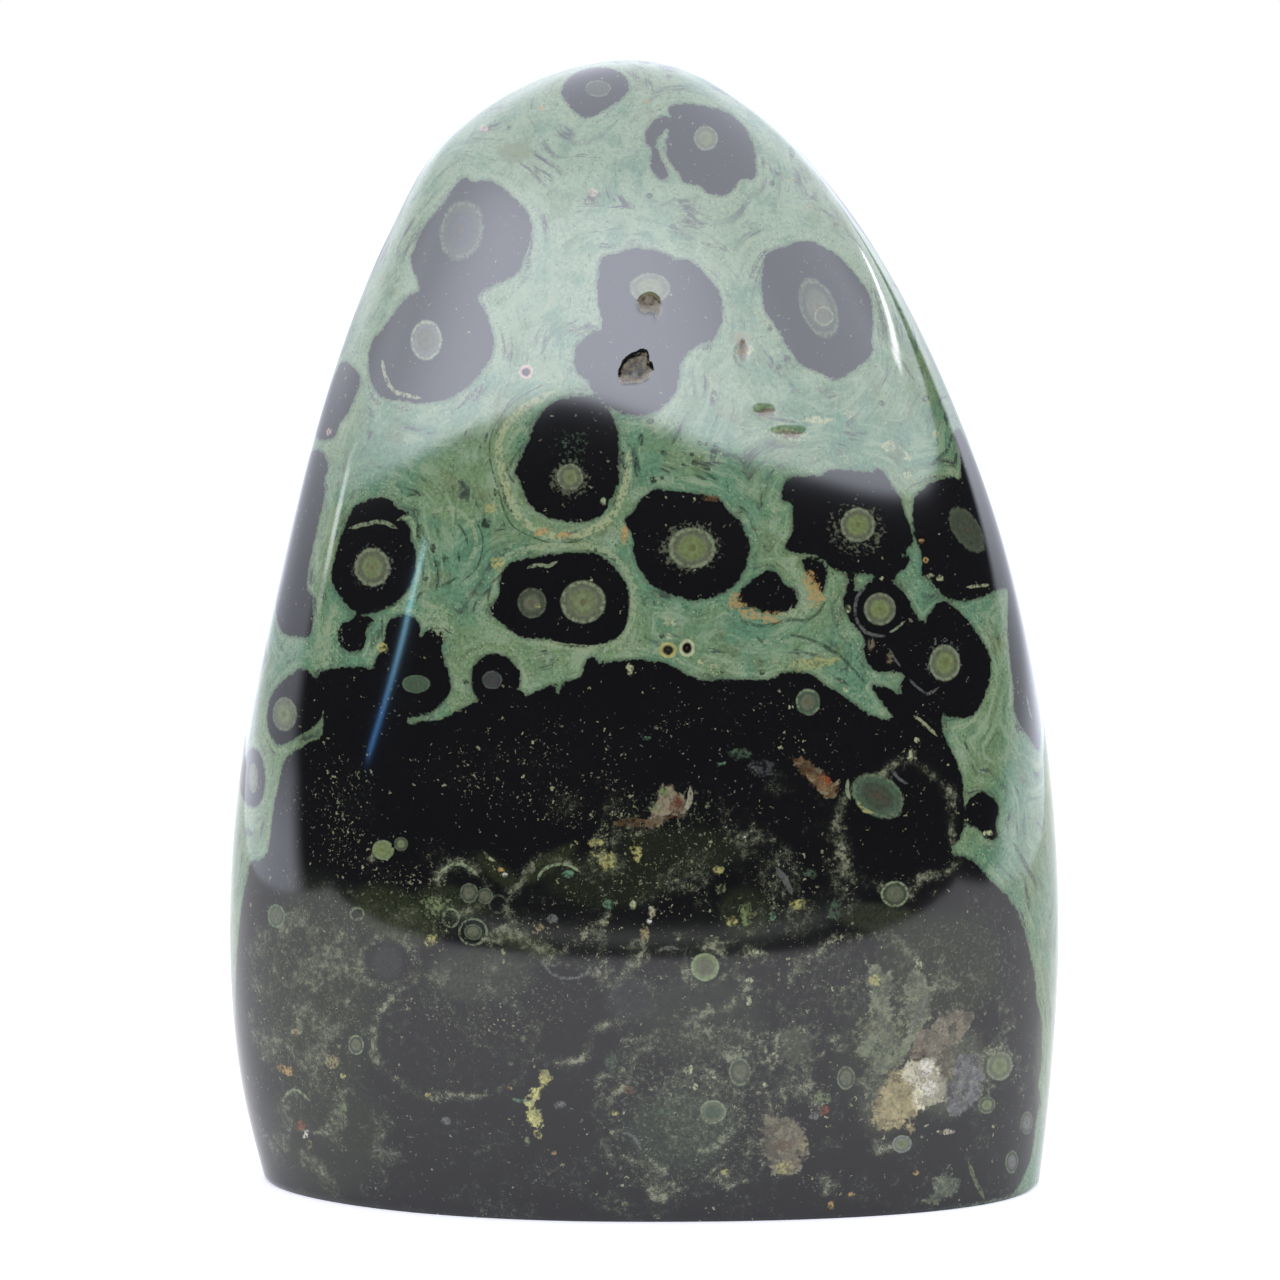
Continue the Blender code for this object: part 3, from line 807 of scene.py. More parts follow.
class Layer:
    """What each face of the grid keeps of the nearest mark: its corners' places there, and colours."""

    def __init__(self, surface, colour_count):
        self.surface = surface
        rows, columns = surface.points.shape[:2]
        self.best = np.full((rows - 1, columns), np.inf)
        self.places = np.full((rows - 1, columns, 4, 3), FAR)
        self.colours = np.zeros((colour_count, rows - 1, columns, 4))

    def keep(self, better, score, places, colours):
        self.best[better] = score[better]
        self.places[better] = places[better]
        for layer, colour in zip(self.colours, colours):
            layer[better] = colour


class SpotLayer(Layer):
    """Keeps places within spots, where 1 is the edge, so that a spot is sharper than the mesh."""

    def add(self, spot, colours, seed):
        places, near = spot.places(self.surface.points, self.surface.normals)
        at_corners = corner_values(places)
        reached = corner_values(near).all(axis=2)
        middle = np.linalg.norm(at_corners.mean(axis=2), axis=-1)
        score = (middle - 1.0) * spot.size.min()
        seeds = np.full(at_corners.shape[:3] + (1,), seed)
        values = np.concatenate([at_corners, seeds], axis=3)
        self.keep(reached & (score < self.best), score, values, colours)


class StrokeLayer(Layer):
    """Keeps distances from the middle of thin lines, and the lines' half width there."""

    def add(self, pixels, half_width, colour, closed=False):
        line = smooth_line(pixels, closed, steps=8)
        if closed:
            line = np.concatenate([line, line[:1]])
        points = np.array([self.surface.value_at(self.surface.points, pixel) for pixel in line])
        normals = unit(np.array([self.surface.value_at(self.surface.normals, pixel) for pixel in line]))
        forward = unit(np.gradient(points, axis=0))
        sideways = np.cross(normals, forward)
        length = np.concatenate([[0.0], np.cumsum(np.linalg.norm(np.diff(points, axis=0), axis=1))])
        width = half_width / PIXELS_PER_MM
        middle = points.mean(axis=0)
        reach = np.linalg.norm(points - middle, axis=1).max() + MARK_MARGIN
        grid = self.surface.points
        rows, columns = np.nonzero(np.sum((grid - middle) ** 2, axis=-1) < reach**2)
        if len(rows) == 0:
            return
        at = grid[rows, columns]
        apart = np.sum((at[:, None] - points[None]) ** 2, axis=-1)
        nearest = np.argmin(apart, axis=1)
        offset = at - points[nearest]
        facing = np.sum(self.surface.normals[rows, columns] * normals[nearest], axis=-1) > SAME_SIDE
        along = length[nearest] + np.sum(offset * forward[nearest], axis=-1)
        from_end = np.minimum(along, length[-1] - along)
        taper = 1.0 if closed else np.clip(from_end / (3.0 * width) + 0.3, -1.0, 1.0)
        values = np.full(grid.shape, FAR)
        values[rows, columns, 0] = np.sum(offset * sideways[nearest], axis=-1)
        values[rows, columns, 1] = width * taper
        values[rows, columns, 2] = along
        known = np.zeros(grid.shape[:2], bool)
        known[rows[facing], columns[facing]] = True
        at_corners = corner_values(values)
        reached = corner_values(known).all(axis=2)
        score = np.abs(at_corners[..., 0].mean(axis=2)) - at_corners[..., 1].mean(axis=2)
        self.keep(reached & (score < self.best) & (score < 1.2), score, at_corners, (colour,))


def black_distance(surface):
    """Distance to the black bodies in millimetres, negative inside them."""
    distance = np.full(surface.points[..., 0].size, FAR)
    for outline in (*BLACK_BODIES.values(), MASS_TOP):
        near, from_edge = surface.outlined(outline, FAR / 2)
        distance[near] = np.minimum(distance[near], from_edge)
    return distance.reshape(surface.points.shape[:2])


def patch_layer(surface):
    """Colour of the nearest sharp patch, with its strength falling through a half at its edge."""
    points = surface.points.reshape(-1, 3)
    layer = np.zeros((len(points), 4))
    for colour, outline in PATCHES.values():
        near, from_edge = surface.outlined(outline, 2.0)
        ragged = 0.45 * wobble(points[near], 2.2, len(outline))
        strength = np.clip(0.5 - (from_edge + ragged) / 1.6, 0.0, 1.0)
        stronger = strength > layer[near, 3]
        values = layer[near]
        values[stronger, :3] = linear(colour)
        values[stronger, 3] = strength[stronger]
        layer[near] = values
    return layer.reshape(surface.points.shape[:2] + (4,))


def ellipses(surface, rows):
    """For each row its ellipse, all points' radii in it, which points are near, and the rest of the row."""
    for row in rows:
        spot = Spot(surface, *row[:5])
        places, near = spot.places(surface.points, surface.normals)
        yield spot, np.linalg.norm(places, axis=-1), near, row[5:]


def soft_layer(surface, rows):
    """Overlaid soft ellipses of colour."""
    layer = np.zeros(surface.points.shape[:2] + (4,))
    for _, radius, near, (colour, strength) in ellipses(surface, rows):
        weight = strength * smooth_step(1.25, 0.75, radius) * near
        share = weight / np.maximum(layer[..., 3] + weight, 1e-6)
        layer[..., :3] += (linear(colour) - layer[..., :3]) * share[..., None]
        layer[..., 3] = np.maximum(layer[..., 3], weight)
    return layer


def speck_layer(surface):
    """Density of cream specks, density of fine grey ones, and strength of the cloud between them."""
    points = surface.points
    layer = np.full(points.shape[:2] + (3,), 0.05)
    layer[..., 1] += 0.25 * smooth_step(42.0, 28.0, points[..., 2])
    behind = smooth_step(0.0, 12.0, points[..., 1]) * smooth_step(0.4, 0.62, uneven(points, 16.0, 3, 23))
    behind *= smooth_step(52.0, 40.0, points[..., 2])
    layer[..., 0] += 0.25 * behind
    layer[..., 1] += 0.5 * behind
    for _, radius, near, (cream, grey) in ellipses(surface, SPECKS):
        weight = smooth_step(1.35, 0.4, radius) * near
        layer[..., 0] = np.maximum(layer[..., 0], cream * weight)
        layer[..., 1] = np.maximum(layer[..., 1], grey * weight)
    clumps = smooth_step(0.35, 0.65, uneven(points, 3.1, 4, 21))
    clouds = smooth_step(0.4, 0.6, uneven(points, 3.6, 5, 22))
    layer[..., 0] *= 0.1 + 1.1 * clumps
    layer[..., 1] = np.minimum(layer[..., 1] * (0.15 + 1.2 * clouds), 0.85)
    for row, (spot, radius, near, (inside,)) in zip(GHOST_ORBS, ellipses(surface, GHOST_ORBS)):
        radius = radius + 0.1 * wobble(points, 6.0, row[0])
        share = smooth_step(1.05, 0.9, radius) * near
        layer[..., 1] += (inside - layer[..., 1]) * 0.75 * share
        from_edge = (radius - 1.0) * spot.size.min()
        edge = np.exp(-((from_edge / GHOST_EDGE_WIDTH) ** 2)) * near * (0.55 + 0.45 * clouds)
        layer[..., 1] = np.maximum(layer[..., 1], edge)
    layer[..., 2] = 0.3 * layer[..., 1]
    return layer


def ground_and_painted_top_light(surface):
    """Slow changes of the green ground towards teal, olive and pale, plus painted top light at the crown.
    """
    layer = np.stack([uneven(surface.points, *noise) for noise in GROUND_NOISE], axis=-1)
    # Painted top light: the pale part grows towards the crown, as if lit from above
    layer[..., 2] += 0.2 * smooth_step(76.0, 96.0, surface.points[..., 2])
    return layer


def back_places(turns):
    """How far round the back each column is: 0 at the left edge of the photograph, 1 at the right edge."""
    left = (-math.pi - turns) / math.pi
    right = 1.0 - turns / math.pi
    return np.where(turns < FRONT, left, right)


def back_mass_distance(surface, turns):
    """Distance to the black mass over the back in millimetres, negative inside it."""
    place = back_places(turns)
    edge = np.interp(place, BACK_MASS_PLACES, BACK_MASS_HEIGHTS)
    ripple = 2.2 * wobble(surface.points, 17.0, 3) + 0.8 * wobble(surface.points, 5.0, 4)
    from_top = (surface.points[..., 2] - edge[None, :] + ripple) * 0.85
    sideways = np.where(turns < FRONT, -place * BACK_SPAN - 2.0, (place - 1.0) * BACK_SPAN)
    return np.maximum(from_top, np.maximum(sideways, -FAR)[None, :])


def add_back_eyes(surface, turns, distance, eyes):
    """Seeded small eyes low on the back, inside the black stone."""
    random = np.random.default_rng(BACK_SEED + 1)
    around = back_places(turns)
    inside = (distance < -3.0) & (around > 0.05) & (around < 0.95)
    places = np.argwhere(inside)
    for row, column in random.permutation(places)[:BACK_EYES]:
        spot = BackSpot(surface.points[row, column], surface.normals[row, column], random.uniform(0.9, 2.6))
        colours = BACK_SMALL_EYES[random.integers(2)]
        eyes.add(spot, eye_colours(*colours, 0.5, 0.5), random.uniform(0, 50))


def add_back_orbs(surface, turns, distance, eyes):
    """Seeded orbs over the back, clear of the front's own."""
    random = np.random.default_rng(BACK_SEED)
    taken = []
    around = back_places(turns)
    columns = np.nonzero((around > 0.04) & (around < 0.96))[0]
    for _ in range(BACK_TRIES):
        if len(taken) >= BACK_ORBS:
            break
        row = random.integers(20, len(surface.points) - 12)
        column = random.choice(columns)
        radius = random.uniform(*BACK_ORB_RADIUS)
        centre = surface.points[row, column]
        if distance[row, column] < radius + BACK_GAP_TO_BLACK:
            continue
        reach = radius + BACK_GAP_TO_ORB
        if any(np.linalg.norm(centre - other) < reach + size for other, size in taken):
            continue
        taken.append((centre, radius))
        lobes = 0.08 * radius * wobble(surface.points, radius * 1.6, len(taken))
        own = np.linalg.norm(surface.points - centre, axis=-1) - radius + lobes
        distance[...] = np.minimum(distance, own)
        colours = BACK_ORB_EYES[random.integers(3)]
        spot = BackSpot(centre, surface.normals[row, column], radius * random.uniform(0.24, 0.4))
        eyes.add(spot, eye_colours(*colours, 0.5, 0.5), random.uniform(0, 50))


def eye_colours(outer, inner, rim, ragged):
    return rgba(outer, rim), rgba(inner, ragged)


def carve_pits(surface):
    """Moves the surface in at the pits, and returns how deep each point then lies, 0 to 1."""
    moved = surface.points.reshape(-1, 3).copy()
    normals = surface.normals.reshape(-1, 3)
    shade = np.zeros(len(moved))
    for depth, outline in PITS.values():
        near, from_edge = surface.outlined(outline, 1.0)
        sunk = smooth_step(0.15, -PIT_WALL, from_edge)
        rough = 1.0 + 0.3 * wobble(moved[near], 0.9, 8)
        moved[near] -= (depth * sunk * rough)[:, None] * normals[near]
        shade[near] = np.maximum(shade[near], sunk * depth)
    return moved.reshape(surface.points.shape), shade.reshape(surface.points.shape[:2])


def make_mesh(points, crown):
    """Closed mesh from the grid: an inset ring and a flat face below, one crown point above."""
    rows, columns = points.shape[:2]
    base = points[0].copy()
    base[:, :2] -= BASE_CHAMFER * unit(base[:, :2])
    base[:, 2] = 0.0
    vertices = np.concatenate([points.reshape(-1, 3), base, crown[None]]) * MM
    first = np.arange(rows * columns).reshape(rows, columns)
    quads = corner_values(first).reshape(-1, 4)
    base_row = rows * columns + np.arange(columns)
    skirt = np.stack([base_row, np.roll(base_row, -1), np.roll(first[0], -1), first[0]], axis=1)
    top = [(first[-1, i], first[-1, (i + 1) % columns], len(vertices) - 1) for i in range(columns)]
    faces = quads.tolist() + skirt.tolist() + top + [base_row[::-1].tolist()]
    mesh = bpy.data.meshes.new("stone")
    mesh.from_pydata(vertices.tolist(), [], faces)
    mesh.update()
    mesh.shade_smooth()
    mesh.set_sharp_from_angle(angle=SHARP_ANGLE)
    return mesh


def store(mesh, name, domain, values):
    """Keeps rows of one, three or four numbers on the mesh under a name."""
    kinds = {1: ("FLOAT", "value"), 3: ("FLOAT_VECTOR", "vector"), 4: ("FLOAT_COLOR", "color")}
    kind, slot = kinds[values.shape[-1]]
    data = mesh.attributes.new(name, kind, domain).data
    data.foreach_set(slot, values.astype(np.float32).ravel())


def store_points(mesh, name, values, fill):
    """Keeps the grid's values on the mesh's points: the lowest row's on the base, the fill on the crown."""
    width = values.shape[-1] if values.ndim == 3 else 1
    base = values[0].reshape(-1, width)
    crown = np.full((1, width), fill)
    store(mesh, name, "POINT", np.concatenate([values.reshape(-1, width), base, crown]))


def store_corners(mesh, name, values, fill):
    """Keeps the grid faces' values on the mesh's face corners, and the fill on all others."""
    width = values.shape[-1]
    if values.ndim == 3:
        values = np.repeat(values[:, :, None], 4, axis=2)
    values = values.reshape(-1, width)
    rest = np.full((len(mesh.loops) - len(values), width), fill)
    store(mesh, name, "CORNER", np.concatenate([values, rest]))


class Graph:
    """Short ways to add shader nodes. Inputs have names or numbers, and take values or nodes' results."""

    def __init__(self, tree):
        self.tree = tree

    def add(self, kind, inputs=None, **settings):
        node = self.tree.nodes.new(kind)
        for name, value in settings.items():
            setattr(node, name, value)
        for name, value in (inputs or {}).items():
            self.join(value, node.inputs[name])
        return node

    def join(self, value, socket):
        if isinstance(value, bpy.types.NodeSocket):
            self.tree.links.new(value, socket)
        else:
            socket.default_value = value

    def math(self, operation, *values, clamp=False):
        inputs = dict(enumerate(values))
        return self.add("ShaderNodeMath", inputs, operation=operation, use_clamp=clamp).outputs[0]

    def times(self, a, b, clamp=False):
        return self.math("MULTIPLY", a, b, clamp=clamp)

    def apart(self, a, b):
        return self.math("ABSOLUTE", self.math("SUBTRACT", a, b))

    def scale(self, vector, factor):
        inputs = {0: vector, "Scale": factor}
        return self.add("ShaderNodeVectorMath", inputs, operation="SCALE").outputs[0]

    def shifted(self, vector, shift):
        return self.add("ShaderNodeVectorMath", {0: vector, 1: shift}, operation="ADD").outputs[0]

    def flat_length(self, vector):
        """Length of a vector without its third part."""
        flat = self.add("ShaderNodeVectorMath", {0: vector, 1: (1.0, 1.0, 0.0)}, operation="MULTIPLY")
        return self.add("ShaderNodeVectorMath", {0: flat.outputs[0]}, operation="LENGTH").outputs["Value"]

    def parts(self, vector):
        return self.add("ShaderNodeSeparateXYZ", {0: vector}).outputs

    def channels(self, colour):
        return self.add("ShaderNodeSeparateColor", {0: colour}).outputs

    def grey(self, value):
        return self.add("ShaderNodeCombineXYZ", {0: value, 1: value, 2: value}).outputs[0]

    def ramp(self, value, low, high, to_low=0.0, to_high=1.0):
        inputs = dict(enumerate((value, low, high, to_low, to_high)))
        return self.add("ShaderNodeMapRange", inputs, interpolation_type="SMOOTHSTEP").outputs[0]

    def blend(self, factor, a, b, mode="MIX"):
        inputs = {0: factor, 6: a, 7: b}
        return self.add("ShaderNodeMix", inputs, data_type="RGBA", blend_type=mode).outputs[2]

    def shade(self, colour, value):
        return self.blend(1.0, colour, self.grey(value), "MULTIPLY")

    def noise(self, place, scale, detail, rough):
        inputs = {"Vector": place, "Scale": scale, "Detail": detail, "Roughness": rough}
        return self.add("ShaderNodeTexNoise", inputs).outputs["Fac"]

    def cells(self, place, scale):
        return self.add("ShaderNodeTexVoronoi", {"Vector": place, "Scale": scale})

    def attribute(self, name):
        return self.add("ShaderNodeAttribute", attribute_name=name)


def green_stone(graph, place, black, ground, fine):
    """Mottled green ground, with pale grains and dark hairlines that follow the black bodies' edges."""
    teal, olive, pale = graph.parts(ground)
    colour = graph.blend(graph.ramp(teal, 0.36, 0.64), rgba("teal"), rgba("green"))
    colour = graph.blend(graph.ramp(olive, 0.52, 0.74, 0.0, 0.6), colour, rgba("olive"))
    # The pale part of the ground holds painted top light at the crown as well as the ground's own pale
    # patches
    colour = graph.blend(graph.ramp(pale, 0.5, 0.8, 0.0, 0.85), colour, rgba("pale green"))
    colour = graph.shade(colour, graph.ramp(fine, 0.3, 0.7, 0.78, 1.22))

    flow = graph.noise(stretched(graph, place, black, 0.8), 0.75, 5.0, 0.68)
    colour = graph.blend(graph.ramp(flow, 0.52, 0.62, 0.0, 0.7), colour, rgba("pale green"))
    colour = graph.blend(graph.ramp(flow, 0.6, 0.7, 0.0, 0.55), colour, rgba("pale"))
    smudge = graph.times(graph.ramp(flow, 0.47, 0.35), graph.ramp(olive, 0.4, 0.58, 0.3, 1.0))
    colour = graph.blend(smudge, colour, rgba("slate"))

    grains = graph.cells(place, 3.6)
    random = graph.channels(grains.outputs["Color"])
    near_edge = graph.times(graph.ramp(black, 2.4, 0.4), graph.ramp(pale, 0.34, 0.56))
    amount = graph.math("MULTIPLY_ADD", near_edge, 0.75, graph.ramp(flow, 0.5, 0.64, 0.03, 0.4))
    picked = graph.math("LESS_THAN", random[0], amount)
    cover = graph.times(graph.ramp(grains.outputs["Distance"], 0.6, 0.3), picked)
    cover = graph.times(cover, graph.math("MULTIPLY_ADD", random[1], 0.5, 0.25))
    colour = graph.blend(cover, colour, graph.blend(random[2], rgba("pale green"), rgba("cream")))
    colour = graph.blend(graph.ramp(black, 0.5, -0.1, 0.0, 0.7), colour, rgba("dull green"))
    picked = graph.math("GREATER_THAN", random[1], graph.ramp(black, 0.4, 2.4, 0.86, 0.965))
    dot = graph.times(graph.ramp(grains.outputs["Distance"], 0.45, 0.25), picked)
    return graph.blend(graph.times(dot, 0.6), colour, rgba("dark"))


def stretched(graph, place, distance, rate):
    """Places that change quickly across an edge and slowly along it."""
    return graph.shifted(graph.scale(place, 0.35), graph.grey(graph.times(distance, rate)))


def specks(graph, place, size, density, low, high):
    """Scattered specks: how much of each place they cover, and a random tone for each."""
    cells = graph.cells(place, 1.0 / size)
    random = graph.channels(cells.outputs["Color"])
    radius = graph.math("MULTIPLY_ADD", random[1], high - low, low)
    edge = graph.math("SUBTRACT", radius, cells.outputs["Distance"])
    cover = graph.times(edge, 12.0, clamp=True)
    return graph.times(cover, graph.math("LESS_THAN", random[0], density)), random[2]


def black_stone(graph, place, bend, density):
    """Black ground with cream and grey specks, denser where the stone has more of them."""
    cream_density, dust_density, cloud = graph.parts(density)
    bent = graph.shifted(place, graph.scale(bend, 0.75))
    dust = graph.noise(bent, 1.5, 6.0, 0.78)
    level = graph.math("MULTIPLY_ADD", dust_density, 0.29, dust)
    veil = graph.times(cloud, graph.ramp(level, 0.55, 0.78, 0.1, 1.0))
    colour = graph.blend(veil, rgba("black"), rgba("grey olive"))
    colour = graph.blend(graph.ramp(level, 0.66, 0.79, 0.0, 0.6), colour, rgba("grey olive"))
    colour = graph.blend(graph.ramp(level, 0.76, 0.84, 0.0, 0.7), colour, rgba("dust"))
    cream, tone = specks(graph, bent, 0.5, cream_density, 0.1, 0.4)
    colour = graph.blend(graph.times(cream, 0.75), colour, graph.blend(tone, rgba("tan"), rgba("cream")))
    small, tone = specks(graph, bent, 0.22, graph.times(cream_density, 0.8), 0.2, 0.5)
    return graph.blend(graph.times(small, 0.6), colour,
                       graph.blend(tone, rgba("grey"), rgba("cream")))


def add_patches(graph, colour, place, bend, fine, edge_noise):
    """Crystals and stains of one colour in several tones, with a ragged edge."""
    patch = graph.attribute("patch")
    patch_edge = graph.math("MULTIPLY_ADD", edge_noise, 1.8, patch.outputs["Alpha"])
    tone = graph.shade(patch.outputs["Color"], graph.ramp(fine, 0.32, 0.68, 0.75, 1.25))
    bent = graph.shifted(place, graph.scale(bend, 1.2))
    crystals = graph.channels(graph.cells(bent, 0.9).outputs["Color"])
    tone = graph.shade(tone, graph.math("MULTIPLY_ADD", crystals[0], 1.1, 0.5))
    tone = graph.blend(graph.ramp(edge_noise, 0.02, 0.16, 0.0, 0.55), tone, rgba("dust"))
    tone = graph.blend(graph.ramp(edge_noise, -0.04, -0.16, 0.0, 0.6), tone, rgba("dull green"))
    return graph.blend(graph.ramp(patch_edge, 0.42, 0.66), colour, tone)


def add_grains(graph, colour, fine, edge_noise):
    """Soft clusters of grains."""
    grain = graph.attribute("grain")
    level = graph.math("MULTIPLY_ADD", grain.outputs["Alpha"], 0.3, fine)
    level = graph.math("MULTIPLY_ADD", edge_noise, 0.6, level)
    inside = graph.ramp(grain.outputs["Alpha"], 0.02, 0.2)
    cover = graph.times(graph.ramp(level, 0.66, 0.8, 0.0, 0.75), inside)
    return graph.blend(cover, colour, grain.outputs["Color"])


def add_eyes(graph, colour, fine, edge_noise):
    """Round eyes: a pale ragged rim, an outer and an inner disc, faint rings and a small core."""
    spot = graph.attribute("eye_place").outputs["Vector"]
    outer = graph.attribute("eye_colour_0")
    inner = graph.attribute("eye_colour_1")
    seed = graph.parts(spot)[2]
    swing = graph.times(edge_noise, inner.outputs["Alpha"])
    radius = graph.math("MULTIPLY_ADD", swing, 0.45, graph.flat_length(spot))
    rings = graph.math("SINE", graph.math("MULTIPLY_ADD", radius, 17.0, seed))
    tone = graph.blend(graph.ramp(radius, 0.72, 0.45), outer.outputs["Color"], inner.outputs["Color"])
    mottle = graph.ramp(fine, 0.25, 0.75, 0.78, 1.22)
    tone = graph.shade(tone, graph.math("MULTIPLY_ADD", rings, 0.07, mottle))
    tone = graph.blend(graph.ramp(radius, 0.2, 0.12, 0.0, 0.4), tone, rgba("brown"))
    rim = graph.times(graph.ramp(radius, 0.76, 0.88), outer.outputs["Alpha"])
    rim = graph.times(rim, graph.ramp(fine, 0.4, 0.56, 0.1, 0.85))
    tone = graph.blend(rim, tone, rgba("pale"))
    return graph.blend(graph.ramp(radius, 1.04, 0.92), colour, tone)


def add_flecks(graph, colour, fine, edge_noise):
    """Crystals with crumbling edges."""
    spot = graph.attribute("fleck_place").outputs["Vector"]
    tint = graph.attribute("fleck_colour_0")
    radius = graph.math("MULTIPLY_ADD", edge_noise, 2.2, graph.flat_length(spot))
    tone = graph.shade(tint.outputs["Color"], graph.ramp(fine, 0.3, 0.7, 0.6, 1.2))
    crumbs = graph.ramp(fine, 0.4, 0.56, 0.15, 0.85)
    return graph.blend(graph.times(graph.ramp(radius, 1.1, 0.7), crumbs), colour, tone)


def add_strokes(graph, colour, fine, edge_noise):
    """Thin lines that fade out at their ends."""
    spot = graph.parts(graph.attribute("stroke_place").outputs["Vector"])
    tint = graph.attribute("stroke_colour_0")
    across = graph.math("MULTIPLY_ADD", edge_noise, 0.4, graph.math("ABSOLUTE", spot[0]))
    edge = graph.math("SUBTRACT", across, spot[1])
    cover = graph.times(graph.ramp(edge, 0.05, -0.04), tint.outputs["Alpha"])
    cover = graph.times(cover, graph.ramp(fine, 0.38, 0.54, 0.1, 0.8))
    return graph.blend(cover, colour, tint.outputs["Color"])


def add_pits(graph, colour, fine, edge_noise):
    """Rough rock where the polish didn't reach, and how much of it each place has."""
    pit = graph.attribute("pit").outputs["Fac"]
    deep = graph.blend(graph.ramp(fine, 0.45, 0.65), rgba("dim grey"), rgba("tan"))
    shallow = graph.blend(graph.ramp(fine, 0.4, 0.6), rgba("umber"), rgba("tan"))
    tone = graph.blend(graph.ramp(pit, 0.15, 0.7), shallow, deep)
    tone = graph.shade(tone, graph.ramp(edge_noise, -0.1, 0.1, 0.5, 1.4))
    scraped = graph.math("MULTIPLY_ADD", edge_noise, graph.ramp(pit, 0.0, 0.02, 0.0, 0.35), pit)
    return graph.blend(graph.ramp(scraped, 0.03, 0.07), colour, tone), scraped


# Roughness where the polish reached the stone and where it didn't, and how much quartz bends light
POLISHED = 0.07
UNPOLISHED = 0.55
QUARTZ_IOR = 1.54


def make_material():
    """Polished stone: green and black ground, with patches, grains, eyes, lines, crystals and pits."""
    material = bpy.data.materials.new("kambaba jasper")
    material.use_nodes = True
    graph = Graph(material.node_tree)
    surface = material.node_tree.nodes["Principled BSDF"]
    coordinates = graph.add("ShaderNodeTexCoord").outputs["Object"]
    place = graph.scale(coordinates, 1.0 / MM)
    fine = graph.noise(place, 2.6, 3.0, 0.65)
    edge_noise = graph.math("SUBTRACT", graph.noise(place, 1.7, 5.0, 0.72), 0.5)

    black = graph.attribute("black_distance").outputs["Fac"]
    edge = graph.math("MULTIPLY_ADD", edge_noise, 1.15, black)
    green = green_stone(graph, place, black, graph.attribute("ground").outputs["Vector"], fine)
    bend = graph.add("ShaderNodeTexNoise", {"Vector": place, "Scale": 3.0, "Detail": 1.0}).outputs["Color"]
    dark = black_stone(graph, place, bend, graph.attribute("speck_density").outputs["Vector"])
    stain = graph.attribute("stain")
    cover = graph.times(stain.outputs["Alpha"], graph.ramp(fine, 0.25, 0.6, 0.35, 1.1), clamp=True)
    dark = graph.blend(cover, dark, stain.outputs["Color"])
    colour = graph.blend(graph.ramp(edge, 0.07, -0.07), green, dark)

    colour = add_patches(graph, colour, place, bend, fine, edge_noise)
    colour = add_grains(graph, colour, fine, edge_noise)
    colour = add_eyes(graph, colour, fine, edge_noise)
    colour = add_strokes(graph, colour, fine, edge_noise)
    colour = add_flecks(graph, colour, fine, edge_noise)
    colour, scraped = add_pits(graph, colour, fine, edge_noise)
    graph.join(colour, surface.inputs["Base Color"])
    graph.join(graph.ramp(scraped, 0.03, 0.2, POLISHED, UNPOLISHED), surface.inputs["Roughness"])
    surface.inputs["IOR"].default_value = QUARTZ_IOR
    surface.inputs["Metallic"].default_value = 0.0
    return material


def make_stone():
    """The fine stone, with every marking kept on its mesh."""
    surface = Surface()
    turns = make_grid()[1]
    distance = np.minimum(black_distance(surface), back_mass_distance(surface, turns))

    eyes = SpotLayer(surface, 2)
    for number, (*place, outer, inner, rim, ragged) in enumerate(EYES):
        eyes.add(Spot(surface, *place), eye_colours(outer, inner, rim, ragged), float(number))
    add_back_orbs(surface, turns, distance, eyes)
    add_back_eyes(surface, turns, distance, eyes)

    flecks = SpotLayer(surface, 1)
    for colour, marks in FLECKS.items():
        for mark in marks:
            flecks.add(Spot(surface, *mark), (rgba(colour),), 0.0)

    strokes = StrokeLayer(surface, 1)
    for colour, lines in STROKES.items():
        for half_width, pixels in lines:
            strokes.add(pixels, half_width, rgba(colour, STROKE_STRENGTH))
    for x, y, half_width, half_height, tilt, colour in RINGS_ONLY:
        angles = np.arange(RING_POINTS) * 2 * math.pi / RING_POINTS
        turn = math.radians(-tilt)
        u, v = half_width * np.cos(angles), half_height * np.sin(angles)
        ring = np.stack([x + u * math.cos(turn) - v * math.sin(turn),
                         y + u * math.sin(turn) + v * math.cos(turn)], axis=1)
        strokes.add(ring, RING_HALF_WIDTH, rgba(colour, RING_STRENGTH), closed=True)

    moved, pit = carve_pits(surface)
    mesh = make_mesh(moved, surface_point(np.array(HEIGHT), np.array(0.0)))
    store_points(mesh, "black_distance", np.clip(distance, -FAR, FAR), FAR)
    store_points(mesh, "pit", pit, 0.0)
    # The ground's pale part carries painted top light at the crown
    store_points(mesh, "ground", ground_and_painted_top_light(surface), 0.5)
    store_points(mesh, "speck_density", speck_layer(surface), 0.0)
    store_points(mesh, "patch", patch_layer(surface), 0.0)
    store_points(mesh, "grain", soft_layer(surface, GRAINS), 0.0)
    store_points(mesh, "stain", soft_layer(surface, STAINS), 0.0)
    for name, layer in (("eye", eyes), ("fleck", flecks), ("stroke", strokes)):
        store_corners(mesh, name + "_place", layer.places, FAR)
        for number, colours in enumerate(layer.colours):
            store_corners(mesh, f"{name}_colour_{number}", colours, 0.0)
    stone = bpy.data.objects.new("stone", mesh)
    bpy.context.scene.collection.objects.link(stone)
    stone.data.materials.append(make_material())
    return stone


# Half width, front edge and back edge of the sheet, its grey, and the bluish light of the tent in it
FLOOR = (330.0, -165.0, 420.0)
FLOOR_COLOUR = (0.92, 0.92, 0.92, 1.0)
FLOOR_GLOW = (0.93, 0.94, 1.15, 1.0)
FLOOR_GLOW_STRENGTH = 0.42


